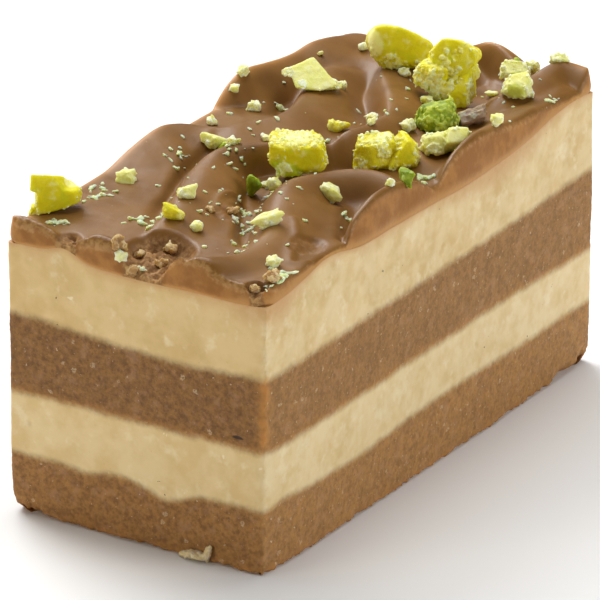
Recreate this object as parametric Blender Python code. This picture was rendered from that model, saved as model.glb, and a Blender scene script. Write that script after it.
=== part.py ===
"""A cut slice of layered nougat.

Two brown and two cream nougat layers, a swirled milk chocolate topping and ten large pieces of
chopped pistachio. Sizes are in millimetres and MM turns them into metres. +Z is up, the slice is
longest along Y, and the origin is the middle of the underside.
"""

import math
from dataclasses import dataclass

import bmesh
import bpy
import numpy as np
from mathutils import Matrix, Vector

MM = 0.001

# The slice
WIDTH = 30.0
LENGTH = 62.4
GAP = 0.3

# The knife cuts: how far the faces wander inwards, and the lean of the nearest upright edge
CUT_WANDER = 0.07
CUT_WAVE_ALONG = 9.0
CUT_WAVE_UP = 6.0
WAVE_START_X = 0.4
WAVE_START_Y = 1.9
CORNER_LEAN = 0.5
CORNER_REACH = 4.0
UPRIGHT_EDGE_RADIUS = 0.4
BOTTOM_EDGE_RADIUS = 0.8

# The topping
TOPPING_LEVEL = 30.2
FOLD_FOOT = 29.2
FOLD_STEPS = 6
FOLD_BLUR = 0.4
NARROWEST_REACH = 0.9
CREASE = 0.3
TEAR_INNER = 0.7
TEAR_OUTER = 1.05
TOPPING_EDGE_DROP = 0.5
TOPPING_EDGE_REACH = 0.75
THINNEST_TOPPING = 0.5
TOPPING_BULGE = 0.3
TOPPING_CORNER_RADIUS = 1.6

# The nuts: the block that each lump is cut from, its chamfers, how the nuts are turned, and how near
# points are merged
NUT_BLOCK = 9.0
NUT_CHAMFER = 0.16
NUT_TURN = 32.11
NUT_MERGE = 0.03
NUT_MERGES = (0.04, 0.03, 0.02, 0.01, 0.005, 0.001)

# Faces that lean this far downwards are the underside, and edges sharper than this angle stay sharp
UNDERSIDE = -0.5
SHARP_ANGLE = 40.0

# Cells of the box that each layer starts as, along X, Y and Z
FLAT_LAYER_CELLS = (10, 14, 1)
UPPER_CREAM_CELLS = (10, 20, 1)
TOPPING_CELLS = (22, 44, 2)
EDGE_CROWDING = 0.2


@dataclass(frozen=True)
class Swell:
    """A soft rise, or a sink where rise is negative, in a layer's surface."""

    x: float
    y: float
    rise: float
    reach_x: float
    reach_y: float

    def at(self, x, y):
        across = (x - self.x) / self.reach_x
        along = (y - self.y) / self.reach_y
        return self.rise * np.exp(-across * across - along * along)


@dataclass(frozen=True)
class Boundary:
    """The surface between two layers: a level, and the swells in it."""

    level: float
    swells: tuple = ()

    def at(self, x, y):
        return self.level + sum(swell.at(x, y) for swell in self.swells)


@dataclass(frozen=True)
class Fold:
    """A fold that the spatula left, or a groove, whose heights are depths and whose foot is 0.

    Each place on its course holds X, Y, the crest's height, and how far the fold reaches on its left
    and on its right.
    """

    course: tuple
    foot: float = FOLD_FOOT

    def at(self, x, y):
        samples = smooth_path(self.course, FOLD_STEPS)
        samples[:, 3:] = np.maximum(samples[:, 3:], NARROWEST_REACH)
        spans = list(zip(samples, samples[1:]))
        offsets = [offset_from(x, y, start, end) for start, end in spans]
        near = np.minimum.reduce([distance for distance, _, _ in offsets])
        total = np.zeros(x.shape)
        crest = np.zeros(x.shape)
        reach = np.zeros(x.shape)
        for (start, end), (distance, lean, part) in zip(spans, offsets):
            weight = np.exp((near - distance) / FOLD_BLUR)
            height, left, right = (start[i] + part * (end[i] - start[i]) for i in (2, 3, 4))
            total += weight
            crest += weight * height
            reach += weight * (right + (left - right) * (0.5 + 0.5 * lean))
        fall = np.exp(-((near * total / reach) ** 2))
        return self.foot + (crest / total - self.foot) * fall


@dataclass(frozen=True)
class Tear:
    """A place where the chocolate is torn open."""

    x: float
    y: float
    reach_x: float
    reach_y: float
    depth: float

    def at(self, x, y):
        across = np.hypot((x - self.x) / self.reach_x, (y - self.y) / self.reach_y)
        return self.depth * (1.0 - smoothstep(TEAR_INNER, TEAR_OUTER, across))


@dataclass(frozen=True)
class Lump:
    """A chunk of nut with flat faces, each with the way it looks and how far it is from the middle."""

    middle: tuple
    faces: tuple


@dataclass(frozen=True)
class Nut:
    """A chopped piece of pistachio: where it lies, its middle's height over the chocolate, its lumps."""

    name: str
    finish: str
    place: tuple
    lift: float
    lumps: tuple


BASE_TOP = Boundary(
    6.9,
    (
        Swell(-12.0, -31.0, -0.4, 6.0, 12.0),
        Swell(-6.0, -31.0, -0.6, 2.5, 8.0),
        Swell(3.2, -31.0, -1.4, 2.8, 8.0),
        Swell(15.0, -27.0, 0.3, 6.0, 3.0),
        Swell(15.0, -14.0, -0.3, 8.0, 5.0),
        Swell(15.0, 3.0, 0.4, 10.0, 8.0),
    ),
)
LOWER_CREAM_TOP = Boundary(12.9, (Swell(15.0, 31.0, -0.4, 10.0, 12.0),))
MIDDLE_TOP = Boundary(
    20.9,
    (
        Swell(-13.0, -31.0, 0.5, 6.0, 14.0),
        Swell(5.0, -31.0, -0.4, 9.0, 10.0),
        Swell(15.0, 30.0, 0.6, 9.0, 12.0),
    ),
)
UPPER_CREAM_TOP = Boundary(
    28.6,
    (
        Swell(-12.0, -31.0, 0.3, 3.0, 8.0),
        Swell(-8.2, -31.0, 1.0, 2.0, 3.0),
        Swell(12.0, -31.0, -0.3, 4.0, 6.0),
        Swell(0.0, -31.5, -0.55, 10.0, 4.0),
        Swell(15.0, -20.0, 1.1, 6.0, 4.5),
        Swell(15.0, 7.0, -0.4, 8.0, 8.0),
        Swell(15.0, 27.0, 1.5, 9.0, 8.0),
        Swell(-15.0, 5.0, 0.4, 7.0, 9.0),
        Swell(-6.0, 31.0, -0.4, 6.0, 8.0),
    ),
)

TOPPING_SWELLS = (
    Swell(-8.0, -26.0, 0.35, 7.0, 7.0),
    Swell(9.0, 10.0, 0.5, 5.0, 8.0),
    Swell(3.2, 1.5, -0.7, 2.6, 2.6),
    Swell(-10.0, 12.0, -0.3, 3.0, 4.0),
    Swell(5.5, 25.0, -0.6, 2.5, 5.0),
    Swell(-4.0, 28.0, 0.5, 8.0, 6.0),
)
FOLDS = (
    Fold((
        (-15.4, -17.5, 29.9, 2.0, 5.0), (-15.2, -13.7, 30.4, 2.0, 6.0), (-15.1, -9.6, 31.3, 2.0, 7.0),
        (-14.8, -5.6, 31.8, 1.6, 7.0), (-13.6, -3.0, 31.7, 1.3, 6.0), (-11.4, -1.6, 31.5, 1.2, 5.0),
        (-9.4, -0.8, 31.5, 1.2, 5.0), (-7.9, 1.9, 31.5, 1.2, 5.0), (-6.5, 4.6, 31.5, 1.2, 6.0),
        (-6.4, 7.4, 31.5, 1.2, 6.0), (-7.1, 10.4, 31.4, 1.3, 7.0), (-8.4, 14.0, 31.2, 1.5, 7.0),
        (-9.5, 19.0, 31.0, 2.0, 7.0),
    )),
    Fold((
        (-0.8, -28.0, 30.6, 1.6, 4.0), (-1.6, -24.5, 31.0, 1.6, 5.0), (-2.3, -20.8, 31.4, 1.6, 6.0),
        (-3.9, -17.2, 31.7, 1.6, 6.0), (-5.2, -13.9, 31.8, 1.6, 6.0), (-6.2, -10.5, 31.8, 1.8, 5.0),
        (-6.4, -7.2, 31.8, 2.2, 3.6), (-5.3, -4.4, 31.8, 2.0, 2.6), (-2.9, -2.2, 31.9, 1.5, 2.4),
        (-0.6, 0.0, 32.0, 1.2, 2.4), (1.2, 2.0, 32.0, 1.1, 2.2), (2.6, 5.0, 32.0, 1.1, 2.2),
        (3.3, 8.2, 32.0, 1.1, 3.0), (2.9, 10.8, 32.0, 1.2, 4.0), (1.0, 13.6, 32.0, 1.4, 5.0),
        (-1.5, 16.6, 31.9, 1.6, 6.0), (-3.4, 19.4, 31.8, 1.8, 6.0), (-4.5, 23.5, 31.4, 2.0, 6.0),
    )),
    Fold((
        (5.0, -31.5, 31.5, 1.5, 2.5), (7.4, -30.6, 31.8, 1.5, 2.2), (9.0, -28.0, 31.4, 1.6, 3.0),
        (9.7, -24.8, 31.3, 2.2, 4.0), (9.2, -21.8, 31.4, 2.8, 5.0), (8.0, -18.6, 31.5, 3.0, 5.0),
        (6.6, -15.4, 31.8, 3.0, 5.0), (5.2, -12.2, 32.0, 3.0, 5.0), (4.7, -9.8, 32.0, 2.6, 4.0),
        (5.6, -7.5, 32.0, 1.8, 3.0), (7.2, -5.2, 32.0, 1.3, 2.8), (9.4, -3.7, 32.0, 1.2, 2.8),
        (11.8, -3.6, 31.8, 1.2, 2.6), (13.8, -4.4, 31.2, 1.2, 2.4),
    )),
    Fold((
        (16.4, -17.4, 30.0, 0.9, 3.0), (15.6, -16.4, 30.6, 0.8, 3.0), (14.9, -15.4, 32.2, 0.9, 3.0),
        (14.4, -14.0, 32.9, 1.1, 3.0), (14.2, -11.0, 33.3, 1.3, 3.0), (14.3, -8.0, 33.0, 1.4, 3.0),
        (14.5, -5.0, 32.4, 1.4, 3.0),
        (15.0, -2.4, 31.5, 1.2, 3.0), (15.6, -0.8, 30.6, 1.0, 3.0),
    )),
    Fold((
        (15.6, 0.4, 30.4, 1.2, 3.0), (15.1, 2.4, 32.0, 1.4, 3.0), (14.8, 5.0, 32.7, 1.8, 3.0),
        (14.6, 8.0, 32.9, 2.5, 3.0), (14.6, 11.0, 32.6, 3.5, 3.0), (14.5, 15.0, 32.0, 4.0, 3.0),
        (14.3, 19.0, 31.7, 5.0, 3.0), (14.0, 23.0, 31.4, 5.0, 3.0), (13.0, 27.0, 31.4, 5.0, 3.0),
    )),
    Fold((
        (-2.0, 32.0, 32.0, 3.0, 1.6), (1.0, 31.6, 32.7, 3.0, 1.4), (3.4, 30.8, 32.9, 3.0, 1.4),
        (6.0, 29.6, 32.3, 3.0, 1.3), (8.2, 28.4, 31.4, 2.0, 1.2),
    )),
    Fold((
        (9.6, 17.0, 31.0, 3.0, 5.0), (10.2, 22.0, 31.6, 2.4, 5.0), (10.6, 26.0, 32.2, 1.8, 4.0),
        (11.4, 29.4, 32.8, 1.6, 3.0), (12.8, 30.6, 32.6, 1.6, 3.0), (14.2, 30.8, 32.4, 1.6, 3.0),
    )),
    Fold((
        (-15.8, 4.8, 29.6, 2.0, 1.2), (-15.4, 7.0, 31.4, 2.0, 2.0), (-15.2, 9.0, 32.5, 2.0, 3.0),
        (-15.2, 11.4, 32.8, 2.0, 3.4), (-15.2, 15.0, 32.3, 2.0, 3.6), (-15.0, 19.6, 31.5, 2.0, 4.0),
        (-14.5, 24.4, 31.5, 2.0, 6.0), (-13.0, 29.0, 30.9, 2.0, 6.0),
    )),
    Fold((
        (-15.5, -30.6, 31.0, 2.0, 2.0), (-13.6, -30.5, 31.4, 1.8, 2.0), (-11.6, -30.7, 31.3, 1.5, 2.0),
        (-9.8, -31.0, 31.0, 1.2, 2.0), (-8.4, -31.4, 29.8, 1.0, 2.0),
    )),
    Fold((
        (-7.0, -31.2, 29.9, 1.0, 2.0), (-6.2, -30.8, 30.8, 1.2, 2.0), (-4.8, -30.4, 31.4, 1.5, 2.0),
        (-3.0, -30.4, 31.3, 1.4, 2.0), (-1.2, -30.9, 30.8, 1.2, 2.0),
    )),
)
GROOVES = (
    Fold((
        (6.8, -22.2, 0.4, 0.8, 1.2), (5.3, -20.4, 1.3, 0.6, 1.5), (3.4, -17.2, 1.7, 0.5, 1.5),
        (1.5, -13.8, 1.8, 0.6, 1.6), (0.0, -10.5, 2.0, 1.0, 1.8), (-1.3, -7.2, 2.1, 1.2, 2.0),
        (-2.0, -4.8, 2.1, 1.3, 2.0), (-1.2, -3.0, 1.8, 1.2, 2.0), (1.6, -1.6, 1.2, 1.2, 1.8),
    ), foot=0.0),
    Fold((
        (-9.4, -2.0, 0.2, 1.2, 0.5), (-9.0, -4.4, 0.6, 1.4, 0.6), (-8.6, -8.7, 0.9, 1.8, 0.6),
        (-7.3, -12.4, 1.0, 1.9, 0.6), (-5.9, -15.5, 0.9, 1.9, 0.6), (-5.0, -18.8, 0.6, 1.7, 0.7),
        (-3.6, -22.4, 0.2, 1.4, 0.7),
    ), foot=0.0),
    Fold((
        (1.6, 10.0, 0.3, 1.2, 0.7), (-0.1, 12.8, 1.4, 1.9, 0.8), (-2.4, 16.0, 1.5, 2.0, 0.9),
        (-5.6, 20.2, 1.2, 2.2, 1.0), (-7.4, 23.0, 0.4, 1.6, 1.0),
    ), foot=0.0),
    Fold((
        (0.4, 3.4, 0.5, 1.0, 1.3), (2.4, 1.0, 1.6, 1.2, 1.6), (4.4, 0.6, 1.5, 1.3, 1.5),
        (6.4, 2.4, 0.5, 1.2, 1.2),
    ), foot=0.0),
    Fold((
        (-9.2, 8.4, 0.3, 0.8, 0.8), (-9.9, 11.2, 1.5, 0.9, 0.9), (-10.6, 14.4, 0.9, 1.0, 0.9),
        (-10.8, 17.0, 0.2, 0.9, 0.9),
    ), foot=0.0),
    Fold((
        (8.6, -8.0, 0.3, 1.6, 1.0), (10.2, -7.8, 1.0, 1.8, 1.4), (11.6, -10.0, 1.3, 2.0, 1.2),
        (12.8, -13.0, 1.2, 2.0, 0.8), (14.0, -15.6, 0.7, 1.6, 0.6),
    ), foot=0.0),
    Fold((
        (3.4, 29.2, 0.5, 0.8, 1.4), (4.2, 26.4, 1.3, 0.9, 1.6), (6.2, 22.4, 1.1, 1.0, 1.6),
        (8.4, 19.0, 0.3, 1.0, 1.4),
    ), foot=0.0),
)
TEARS = (
    Tear(0.9, -28.6, 3.6, 4.2, 1.5),
    Tear(-8.0, -31.0, 1.3, 1.6, 0.5),
    Tear(13.4, -30.4, 1.2, 1.0, 0.9),
    Tear(12.6, -20.2, 1.5, 2.6, 0.3),
)

NUTS = (
    Nut(
        "pistachio_left", "pistachio_yellow", (-13.3, -25.0), 1.5,
        (
            Lump((-0.9, 0.0, 0.3), (
                (0.05, -1.0, 0.15, 1.5), (-1.0, -0.1, 0.0, 1.05), (0.0, 0.42, 0.92, 1.47),
                (0.75, -0.25, 0.6, 2.05), (0.6, 0.4, 0.7, 2.15), (1.0, 0.0, 0.0, 2.4),
                (0.0, 1.0, 0.0, 1.7), (0.3, 0.0, -0.95, 1.7), (0.0, 0.0, -1.0, 1.8),
            )),
            Lump((-1.6, -0.1, 1.4), (
                (0.05, -1.0, 0.15, 1.25), (-1.0, 0.0, 0.1, 0.85), (0.0, 0.42, 0.92, 0.55),
                (1.0, 0.0, 0.2, 1.0), (-0.3, 0.0, -1.0, 0.75), (0.0, 1.0, 0.0, 1.4),
            )),
            Lump((1.1, 0.0, -0.1), (
                (0.05, -1.0, 0.15, 1.46), (0.14, 0.0, 1.0, 1.02), (0.7, 0.45, 0.6, 1.36),
                (1.0, -0.1, 0.0, 1.35), (0.3, 0.0, -0.95, 0.67), (0.0, 1.0, 0.0, 1.6),
                (-1.0, 0.0, 0.0, 1.5), (0.9, -0.5, 0.2, 1.5),
            )),
            Lump((-1.95, -0.9, -1.25), (
                (0.0, -1.0, 0.2, 0.55), (-1.0, 0.0, 0.2, 0.5), (0.0, 0.0, 1.0, 0.36), (1.0, 0.0, 0.0, 0.8),
                (0.0, 1.0, 0.0, 0.8), (0.0, 0.0, -1.0, 0.4),
            )),
        ),
    ),
    Nut(
        "pistachio_half_kernel", "pistachio_yellow", (-3.4, 23.2), 1.95,
        (
            Lump((0.0, 0.0, 0.0), (
                (-0.12, -1.0, 0.3, 1.85), (0.35, -0.9, 0.1, 2.2), (-0.45, -0.85, -0.3, 2.15),
                (0.05, 0.35, 0.95, 2.3), (-1.0, -0.25, 0.1, 3.2), (0.42, 0.35, 0.8, 1.95),
                (-0.85, -0.25, -0.45, 2.75), (0.0, 0.1, -1.0, 1.95), (0.0, 1.0, 0.1, 2.2),
                (1.0, 0.1, 0.0, 3.4), (-0.7, 0.25, 0.7, 3.5), (0.1, -0.7, -0.7, 2.2),
            )),
        ),
    ),
    Nut(
        "pistachio_largest", "pistachio_yellow", (3.9, 20.2), 3.05,
        (
            Lump((0.5, 0.2, 1.7), (
                (-0.1, -0.9, 0.45, 1.55), (0.1, 0.39, 0.92, 1.75), (1.0, 0.0, 0.1, 1.9),
                (-1.0, -0.1, 0.2, 2.1), (-0.67, 0.29, 0.68, 1.95), (0.7, 0.27, 0.65, 2.0),
                (0.0, 0.0, -1.0, 2.3), (0.0, 1.0, 0.0, 1.7), (0.5, -0.85, 0.1, 1.75),
                (-0.7, -0.3, -0.6, 1.9), (0.1, -1.0, -0.2, 1.7),
            )),
            Lump((1.0, -0.6, -1.8), (
                (0.05, -1.0, -0.05, 1.6), (-0.87, -0.2, -0.46, 0.95), (1.0, -0.35, 0.0, 1.4),
                (-0.3, -0.3, 0.9, 1.8), (0.0, 0.3, 1.0, 2.2), (0.0, 1.0, 0.0, 1.8), (0.0, 0.0, -1.0, 1.2),
                (-0.2, -0.8, 0.55, 1.66),
            )),
            Lump((2.3, 0.3, 1.6), (
                (0.95, -0.3, 0.1, 0.95), (0.2, -0.95, 0.2, 1.1), (0.4, 0.0, 0.9, 1.05),
                (-1.0, 0.0, 0.2, 1.2), (0.5, -0.2, -0.85, 0.95), (0.0, 1.0, 0.0, 1.0),
            )),
            Lump((-1.7, -0.6, 0.1), (
                (-0.6, -0.8, 0.1, 1.25), (-1.0, 0.1, 0.2, 1.45), (0.1, -1.0, -0.3, 1.3),
                (-0.4, -0.3, -0.9, 1.5), (0.0, -0.2, 1.0, 1.4), (1.0, 0.0, 0.0, 1.8), (0.0, 1.0, 0.0, 1.4),
                (-0.6, 0.2, 0.8, 1.45),
            )),
            Lump((-0.5, -0.9, -1.5), (
                (-0.6, -0.7, 0.0, 1.0), (0.0, -1.0, 0.0, 1.05), (-0.6, -0.3, -0.8, 1.15),
                (0.0, 0.0, -1.0, 1.3), (0.0, 0.0, 1.0, 1.2), (1.0, 0.0, 0.0, 1.2), (0.0, 1.0, 0.0, 1.2),
                (-1.0, 0.2, 0.0, 1.2),
            )),
        ),
    ),
    Nut(
        "pistachio_pale_slice", "pistachio_pale", (-8.3, 14.1), 1.35,
        (
            Lump((-0.1, 0.0, 0.0), (
                (0.05, -0.5, 0.87, 0.42), (-0.05, 0.5, -0.87, 0.5), (-0.41, 0.36, 0.84, 1.5),
                (0.77, 0.25, 0.59, 1.3), (-0.12, -0.39, -0.91, 1.7), (-0.92, -0.12, -0.28, 2.0),
                (0.3, -0.37, -0.88, 2.0),
            )),
            Lump((2.0, -0.35, -0.95), (
                (0.05, -0.5, 0.87, 0.4), (-0.05, 0.5, -0.87, 0.5), (0.5, 0.34, 0.8, 0.52),
                (0.1, -0.39, -0.91, 0.6), (-1.0, 0.0, 0.0, 1.4), (1.0, -0.1, -0.3, 1.05),
            )),
            Lump((-2.4, 0.0, 0.2), (
                (0.05, -0.5, 0.87, 0.36), (-0.05, 0.5, -0.87, 0.45), (-0.2, 0.38, 0.9, 0.35),
                (-0.2, -0.38, -0.9, 0.45), (-1.0, 0.0, 0.0, 0.7), (1.0, 0.0, 0.0, 1.0),
            )),
        ),
    ),
    Nut(
        "pistachio_cube", "pistachio_yellow", (1.6, -4.4), 2.25,
        (
            Lump((0.0, 0.0, 0.0), (
                (0.02, -0.04, 1.0, 1.6), (0.12, -1.0, 0.03, 2.15), (-0.5, -0.9, -0.1, 2.5),
                (1.0, -0.1, 0.1, 2.65), (-1.0, 0.05, 0.0, 2.75), (0.0, 1.0, 0.1, 2.3),
                (0.0, 0.0, -1.0, 1.5), (0.15, -0.7, -0.72, 2.15), (-0.55, -0.4, -0.7, 2.35),
                (0.8, -0.65, -0.3, 2.75), (0.75, 0.55, 0.3, 3.0),
            )),
            Lump((-0.9, -1.5, -0.9), (
                (0.0, -1.0, 0.0, 0.85), (-0.7, -0.6, 0.2, 0.95), (0.7, -0.6, 0.2, 1.0),
                (0.0, 0.0, 1.0, 0.75), (0.0, -0.3, -1.0, 0.75), (0.0, 1.0, 0.0, 1.0), (1.0, 0.3, 0.0, 1.2),
                (-1.0, 0.0, 0.0, 1.1),
            )),
        ),
    ),
    Nut(
        "pistachio_middle", "pistachio_yellow", (7.9, 1.9), 1.3,
        (
            Lump((-1.0, 0.0, 0.0), (
                (-0.55, -0.83, 0.15, 1.75), (0.35, -0.93, 0.15, 1.75), (-1.0, 0.1, 0.15, 2.0),
                (-0.15, -0.05, 1.0, 1.4), (0.0, 1.0, 0.0, 1.8), (0.0, 0.0, -1.0, 1.4),
                (1.0, 0.1, 0.4, 2.2), (0.0, -0.75, 0.7, 1.95), (0.1, -0.7, -0.7, 1.8),
            )),
            Lump((1.7, -0.1, 0.2), (
                (-0.75, -0.25, 0.55, 0.95), (1.0, -0.15, 0.12, 1.35), (0.2, 0.0, 1.0, 1.75),
                (0.12, -0.98, 0.12, 1.65), (0.0, 1.0, 0.1, 1.4), (0.0, 0.0, -1.0, 1.7),
                (-1.0, -0.1, 0.0, 1.5), (0.2, -0.75, -0.65, 1.75), (0.8, 0.2, 0.7, 1.5),
            )),
        ),
    ),
    Nut(
        "pistachio_green", "pistachio_green", (8.0, 11.8), 1.05,
        (
            Lump((0.0, 0.0, 0.0), (
                (0.0, -0.8, 0.6, 1.5), (-1.0, -0.3, 0.2, 1.7), (1.0, -0.15, 0.2, 1.75),
                (-0.2, 0.0, 1.0, 1.65), (-0.7, -0.5, 0.55, 1.6), (0.65, -0.55, 0.5, 1.65),
                (0.0, -1.0, -0.1, 1.5), (0.0, 1.0, 0.1, 1.6), (0.0, 0.0, -1.0, 1.1),
                (-0.6, -0.6, -0.5, 1.6), (0.6, -0.6, -0.5, 1.6),
            )),
        ),
    ),
    Nut(
        "pistachio_pale_pair", "pistachio_pale", (11.6, 7.2), 1.1,
        (
            Lump((-1.1, 0.0, -0.25), (
                (0.0, -0.85, 0.5, 1.0), (-1.0, -0.2, 0.1, 1.15), (0.9, -0.3, 0.2, 1.2),
                (-0.2, 0.1, 1.0, 1.05), (-0.6, -0.6, 0.5, 1.1), (0.0, 1.0, 0.0, 1.0),
                (0.0, -0.3, -1.0, 0.9), (-0.6, -0.5, -0.6, 1.1),
            )),
            Lump((1.2, 0.2, 0.3), (
                (0.15, -0.6, 0.78, 0.85), (1.0, -0.1, 0.15, 1.15), (-1.0, 0.0, 0.3, 1.1),
                (0.0, 0.3, 1.0, 1.1), (0.2, -0.9, -0.4, 1.05), (0.0, 1.0, 0.0, 1.0), (0.0, 0.0, -1.0, 1.1),
                (0.7, 0.3, -0.6, 1.1),
            )),
        ),
    ),
    Nut(
        "pistachio_right_front", "pistachio_pale", (11.3, 21.9), 1.0,
        (
            Lump((0.0, 0.0, 0.0), (
                (-0.1, -0.55, 0.83, 0.95), (-0.3, -0.95, 0.0, 1.05), (0.75, -0.6, 0.2, 1.15),
                (-1.0, 0.0, 0.2, 1.35), (0.0, 1.0, 0.3, 1.0), (0.0, -0.35, -1.0, 0.95),
                (1.0, 0.2, 0.2, 1.35), (-0.7, -0.2, 0.65, 1.15), (-0.6, -0.4, -0.7, 1.2),
            )),
        ),
    ),
    Nut(
        "pistachio_right_back", "pistachio_pale", (7.6, 27.6), 0.9,
        (
            Lump((0.0, 0.0, 0.0), (
                (0.0, -0.5, 0.85, 0.7), (-0.1, -1.0, -0.1, 0.85), (1.0, -0.1, 0.1, 1.35),
                (-1.0, 0.0, 0.3, 1.3), (0.0, 1.0, 0.3, 1.0), (0.0, 0.0, -1.0, 0.95),
                (-0.6, -0.2, -0.75, 1.1), (0.5, 0.1, 0.8, 1.1),
            )),
        ),
    ),
)

# Colour in linear RGB, then roughness and metallic
FINISHES = {
    "brown_nougat": ((0.27, 0.135, 0.042), 0.8, 0.0),
    "cream_nougat": ((0.7, 0.52, 0.25), 0.6, 0.0),
    "milk_chocolate": ((0.23, 0.105, 0.025), 0.4, 0.0),
    "pistachio_yellow": ((0.75, 0.67, 0.02), 0.55, 0.0),
    "pistachio_pale": ((0.8, 0.79, 0.33), 0.6, 0.0),
    "pistachio_green": ((0.33, 0.42, 0.015), 0.6, 0.0),
}


def smoothstep(low, high, value):
    part = np.clip((value - low) / (high - low), 0.0, 1.0)
    return part * part * (3.0 - 2.0 * part)


def smooth_path(points, steps):
    """Rows along the Catmull-Rom curve through these rows, for each span in steps parts."""
    ends = np.array((points[0], *points, points[-1]), float)
    samples = []
    for before, start, end, after in zip(ends, ends[1:], ends[2:], ends[3:]):
        for t in np.arange(steps) / steps:
            slope = end - before
            bend = 2.0 * before - 5.0 * start + 4.0 * end - after
            twist = 3.0 * start - before - 3.0 * end + after
            samples.append(start + 0.5 * t * (slope + t * (bend + t * twist)))
    return np.array([*samples, ends[-1]])


def offset_from(x, y, start, end):
    """The distance to a straight stretch, how far to its left (1) or right (-1), and how far along."""
    run_x = end[0] - start[0]
    run_y = end[1] - start[1]
    length = math.hypot(run_x, run_y)
    part = np.clip(((x - start[0]) * run_x + (y - start[1]) * run_y) / length**2, 0.0, 1.0)
    off_x = x - start[0] - part * run_x
    off_y = y - start[1] - part * run_y
    distance = np.hypot(off_x, off_y)
    lean = (run_x * off_y - run_y * off_x) / (length * np.maximum(distance, GAP * MM))
    return distance, lean, part


def soft_max(first, second, width):
    """The larger of the two, with the crease between them rounded over width."""
    overlap = np.maximum(1.0 - np.abs(first - second) / width, 0.0)
    return np.maximum(first, second) + 0.25 * width * overlap**2


def inset_of(x, y):
    """How far a place is inside the slice's sides."""
    return np.minimum(WIDTH / 2 - np.abs(x), LENGTH / 2 - np.abs(y))


def topping_height(x, y):
    """The height of the swirled top, before its edges are rounded down."""
    height = TOPPING_LEVEL + sum(swell.at(x, y) for swell in TOPPING_SWELLS)
    for fold in FOLDS:
        height = soft_max(height, fold.at(x, y), CREASE)
    height = height - sum(groove.at(x, y) for groove in GROOVES)
    return height - sum(tear.at(x, y) for tear in TEARS)


def rounded_topping_height(inset):
    """The height of the swirled top, rounded down at the edges of places that are this far inside."""
    part = np.clip(1.0 - inset / TOPPING_EDGE_REACH, 0.0, 1.0)
    drop = TOPPING_EDGE_DROP * (1.0 - np.sqrt(1.0 - part**2))
    return lambda x, y: np.maximum(
        topping_height(x, y) - drop, UPPER_CREAM_TOP.at(x, y) + GAP + THINNEST_TOPPING
    )


def cut_inset(along, up, phase):
    """How far a cut face lies inside its flat plane at places along it and up it."""
    wave = np.sin(along / CUT_WAVE_ALONG + phase) * np.cos(up / CUT_WAVE_UP + phase)
    return CUT_WANDER * (1.0 - wave)


def wandered(x, y, z, bulge):
    """Points with those of the cut faces moved to where the knife left them, and out by the bulge."""
    on_x = np.abs(x) > WIDTH / 2 - GAP
    on_y = np.abs(y) > LENGTH / 2 - GAP
    from_corner = np.hypot(x - WIDTH / 2, y + LENGTH / 2)
    lean = CORNER_LEAN * np.exp(-((from_corner / CORNER_REACH) ** 2)) * (1.0 - z / TOPPING_LEVEL)
    moved_x = x - np.sign(x) * on_x * (cut_inset(y, z, WAVE_START_X) - bulge) - lean
    moved_y = y - np.sign(y) * on_y * (cut_inset(x, z, WAVE_START_Y) - bulge)
    return moved_x, moved_y


def around_corners(x, y):
    """Points near an upright corner of the topping moved onto circles, which rounds the corner."""
    over_x = np.maximum(np.abs(x) - (WIDTH / 2 - TOPPING_CORNER_RADIUS), 0.0)
    over_y = np.maximum(np.abs(y) - (LENGTH / 2 - TOPPING_CORNER_RADIUS), 0.0)
    longer = np.maximum(over_x, over_y)
    spare = 1.0 - longer / np.maximum(np.hypot(over_x, over_y), GAP * MM)
    spare = np.where(longer > 0.0, spare, 0.0)
    return x - np.sign(x) * over_x * spare, y - np.sign(y) * over_y * spare


def crowded(part, crowding):
    """Places from -0.5 to 0.5 moved towards both ends, which stay where they are."""
    return part * (1.0 + crowding) - 4.0 * crowding * part**3


def box_of_cells(cells):
    """A unit box from -0.5 to 0.5 whose edges along each axis are cut into cells."""
    shape = bmesh.new()
    bmesh.ops.create_cube(shape, size=1.0)
    for axis, count in enumerate(cells):
        edges = [edge for edge in shape.edges if abs((edge.verts[0].co - edge.verts[1].co)[axis]) > 0.5]
        if count > 1:
            bmesh.ops.subdivide_edges(shape, edges=edges, cuts=count - 1, use_grid_fill=True)
    return shape


def round_edges(shape, chosen, radius):
    edges = [edge for edge in shape.edges if chosen(edge)]
    bmesh.ops.bevel(shape, geom=edges, offset=radius * MM, segments=2, profile=0.5, affect="EDGES")


def is_upright_corner(edge):
    """Whether an edge is one of the four upright edges of the slice."""
    near = CORNER_LEAN + UPRIGHT_EDGE_RADIUS
    return all(
        abs(vert.co.x) > (WIDTH / 2 - near) * MM and abs(vert.co.y) > (LENGTH / 2 - near) * MM
        for vert in edge.verts
    )


def is_bottom_rim(edge):
    """Whether an edge runs round the underside of the slice."""
    low = all(vert.co.z < GAP * MM for vert in edge.verts)
    return low and any(face.normal.z > UNDERSIDE for face in edge.link_faces)


def between(shape, x, y, lower, upper, bulge=0.0):
    """Moves a unit box's points to these places, between the heights that lower and upper give."""
    part = np.array([vert.co.z for vert in shape.verts]) + 0.5
    z = lower(x, y) + part * (upper(x, y) - lower(x, y))
    moved_x, moved_y = wandered(x, y, z, bulge * 4.0 * part * (1.0 - part))
    for vert, point in zip(shape.verts, np.stack([moved_x, moved_y, z], axis=-1)):
        vert.co = Vector(point) * MM
    shape.normal_update()


def nougat_layer(name, finish, cells, lower, upper, on_floor=False):
    """A layer that the knife left flat, with its upright edges rounded."""
    shape = box_of_cells(cells)
    places = np.array([vert.co for vert in shape.verts])
    between(shape, WIDTH * places[:, 0], LENGTH * places[:, 1], lower, upper)
    round_edges(shape, is_upright_corner, UPRIGHT_EDGE_RADIUS)
    if on_floor:
        shape.normal_update()
        round_edges(shape, is_bottom_rim, BOTTOM_EDGE_RADIUS)
    return finished(name, finish, shape)


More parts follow.
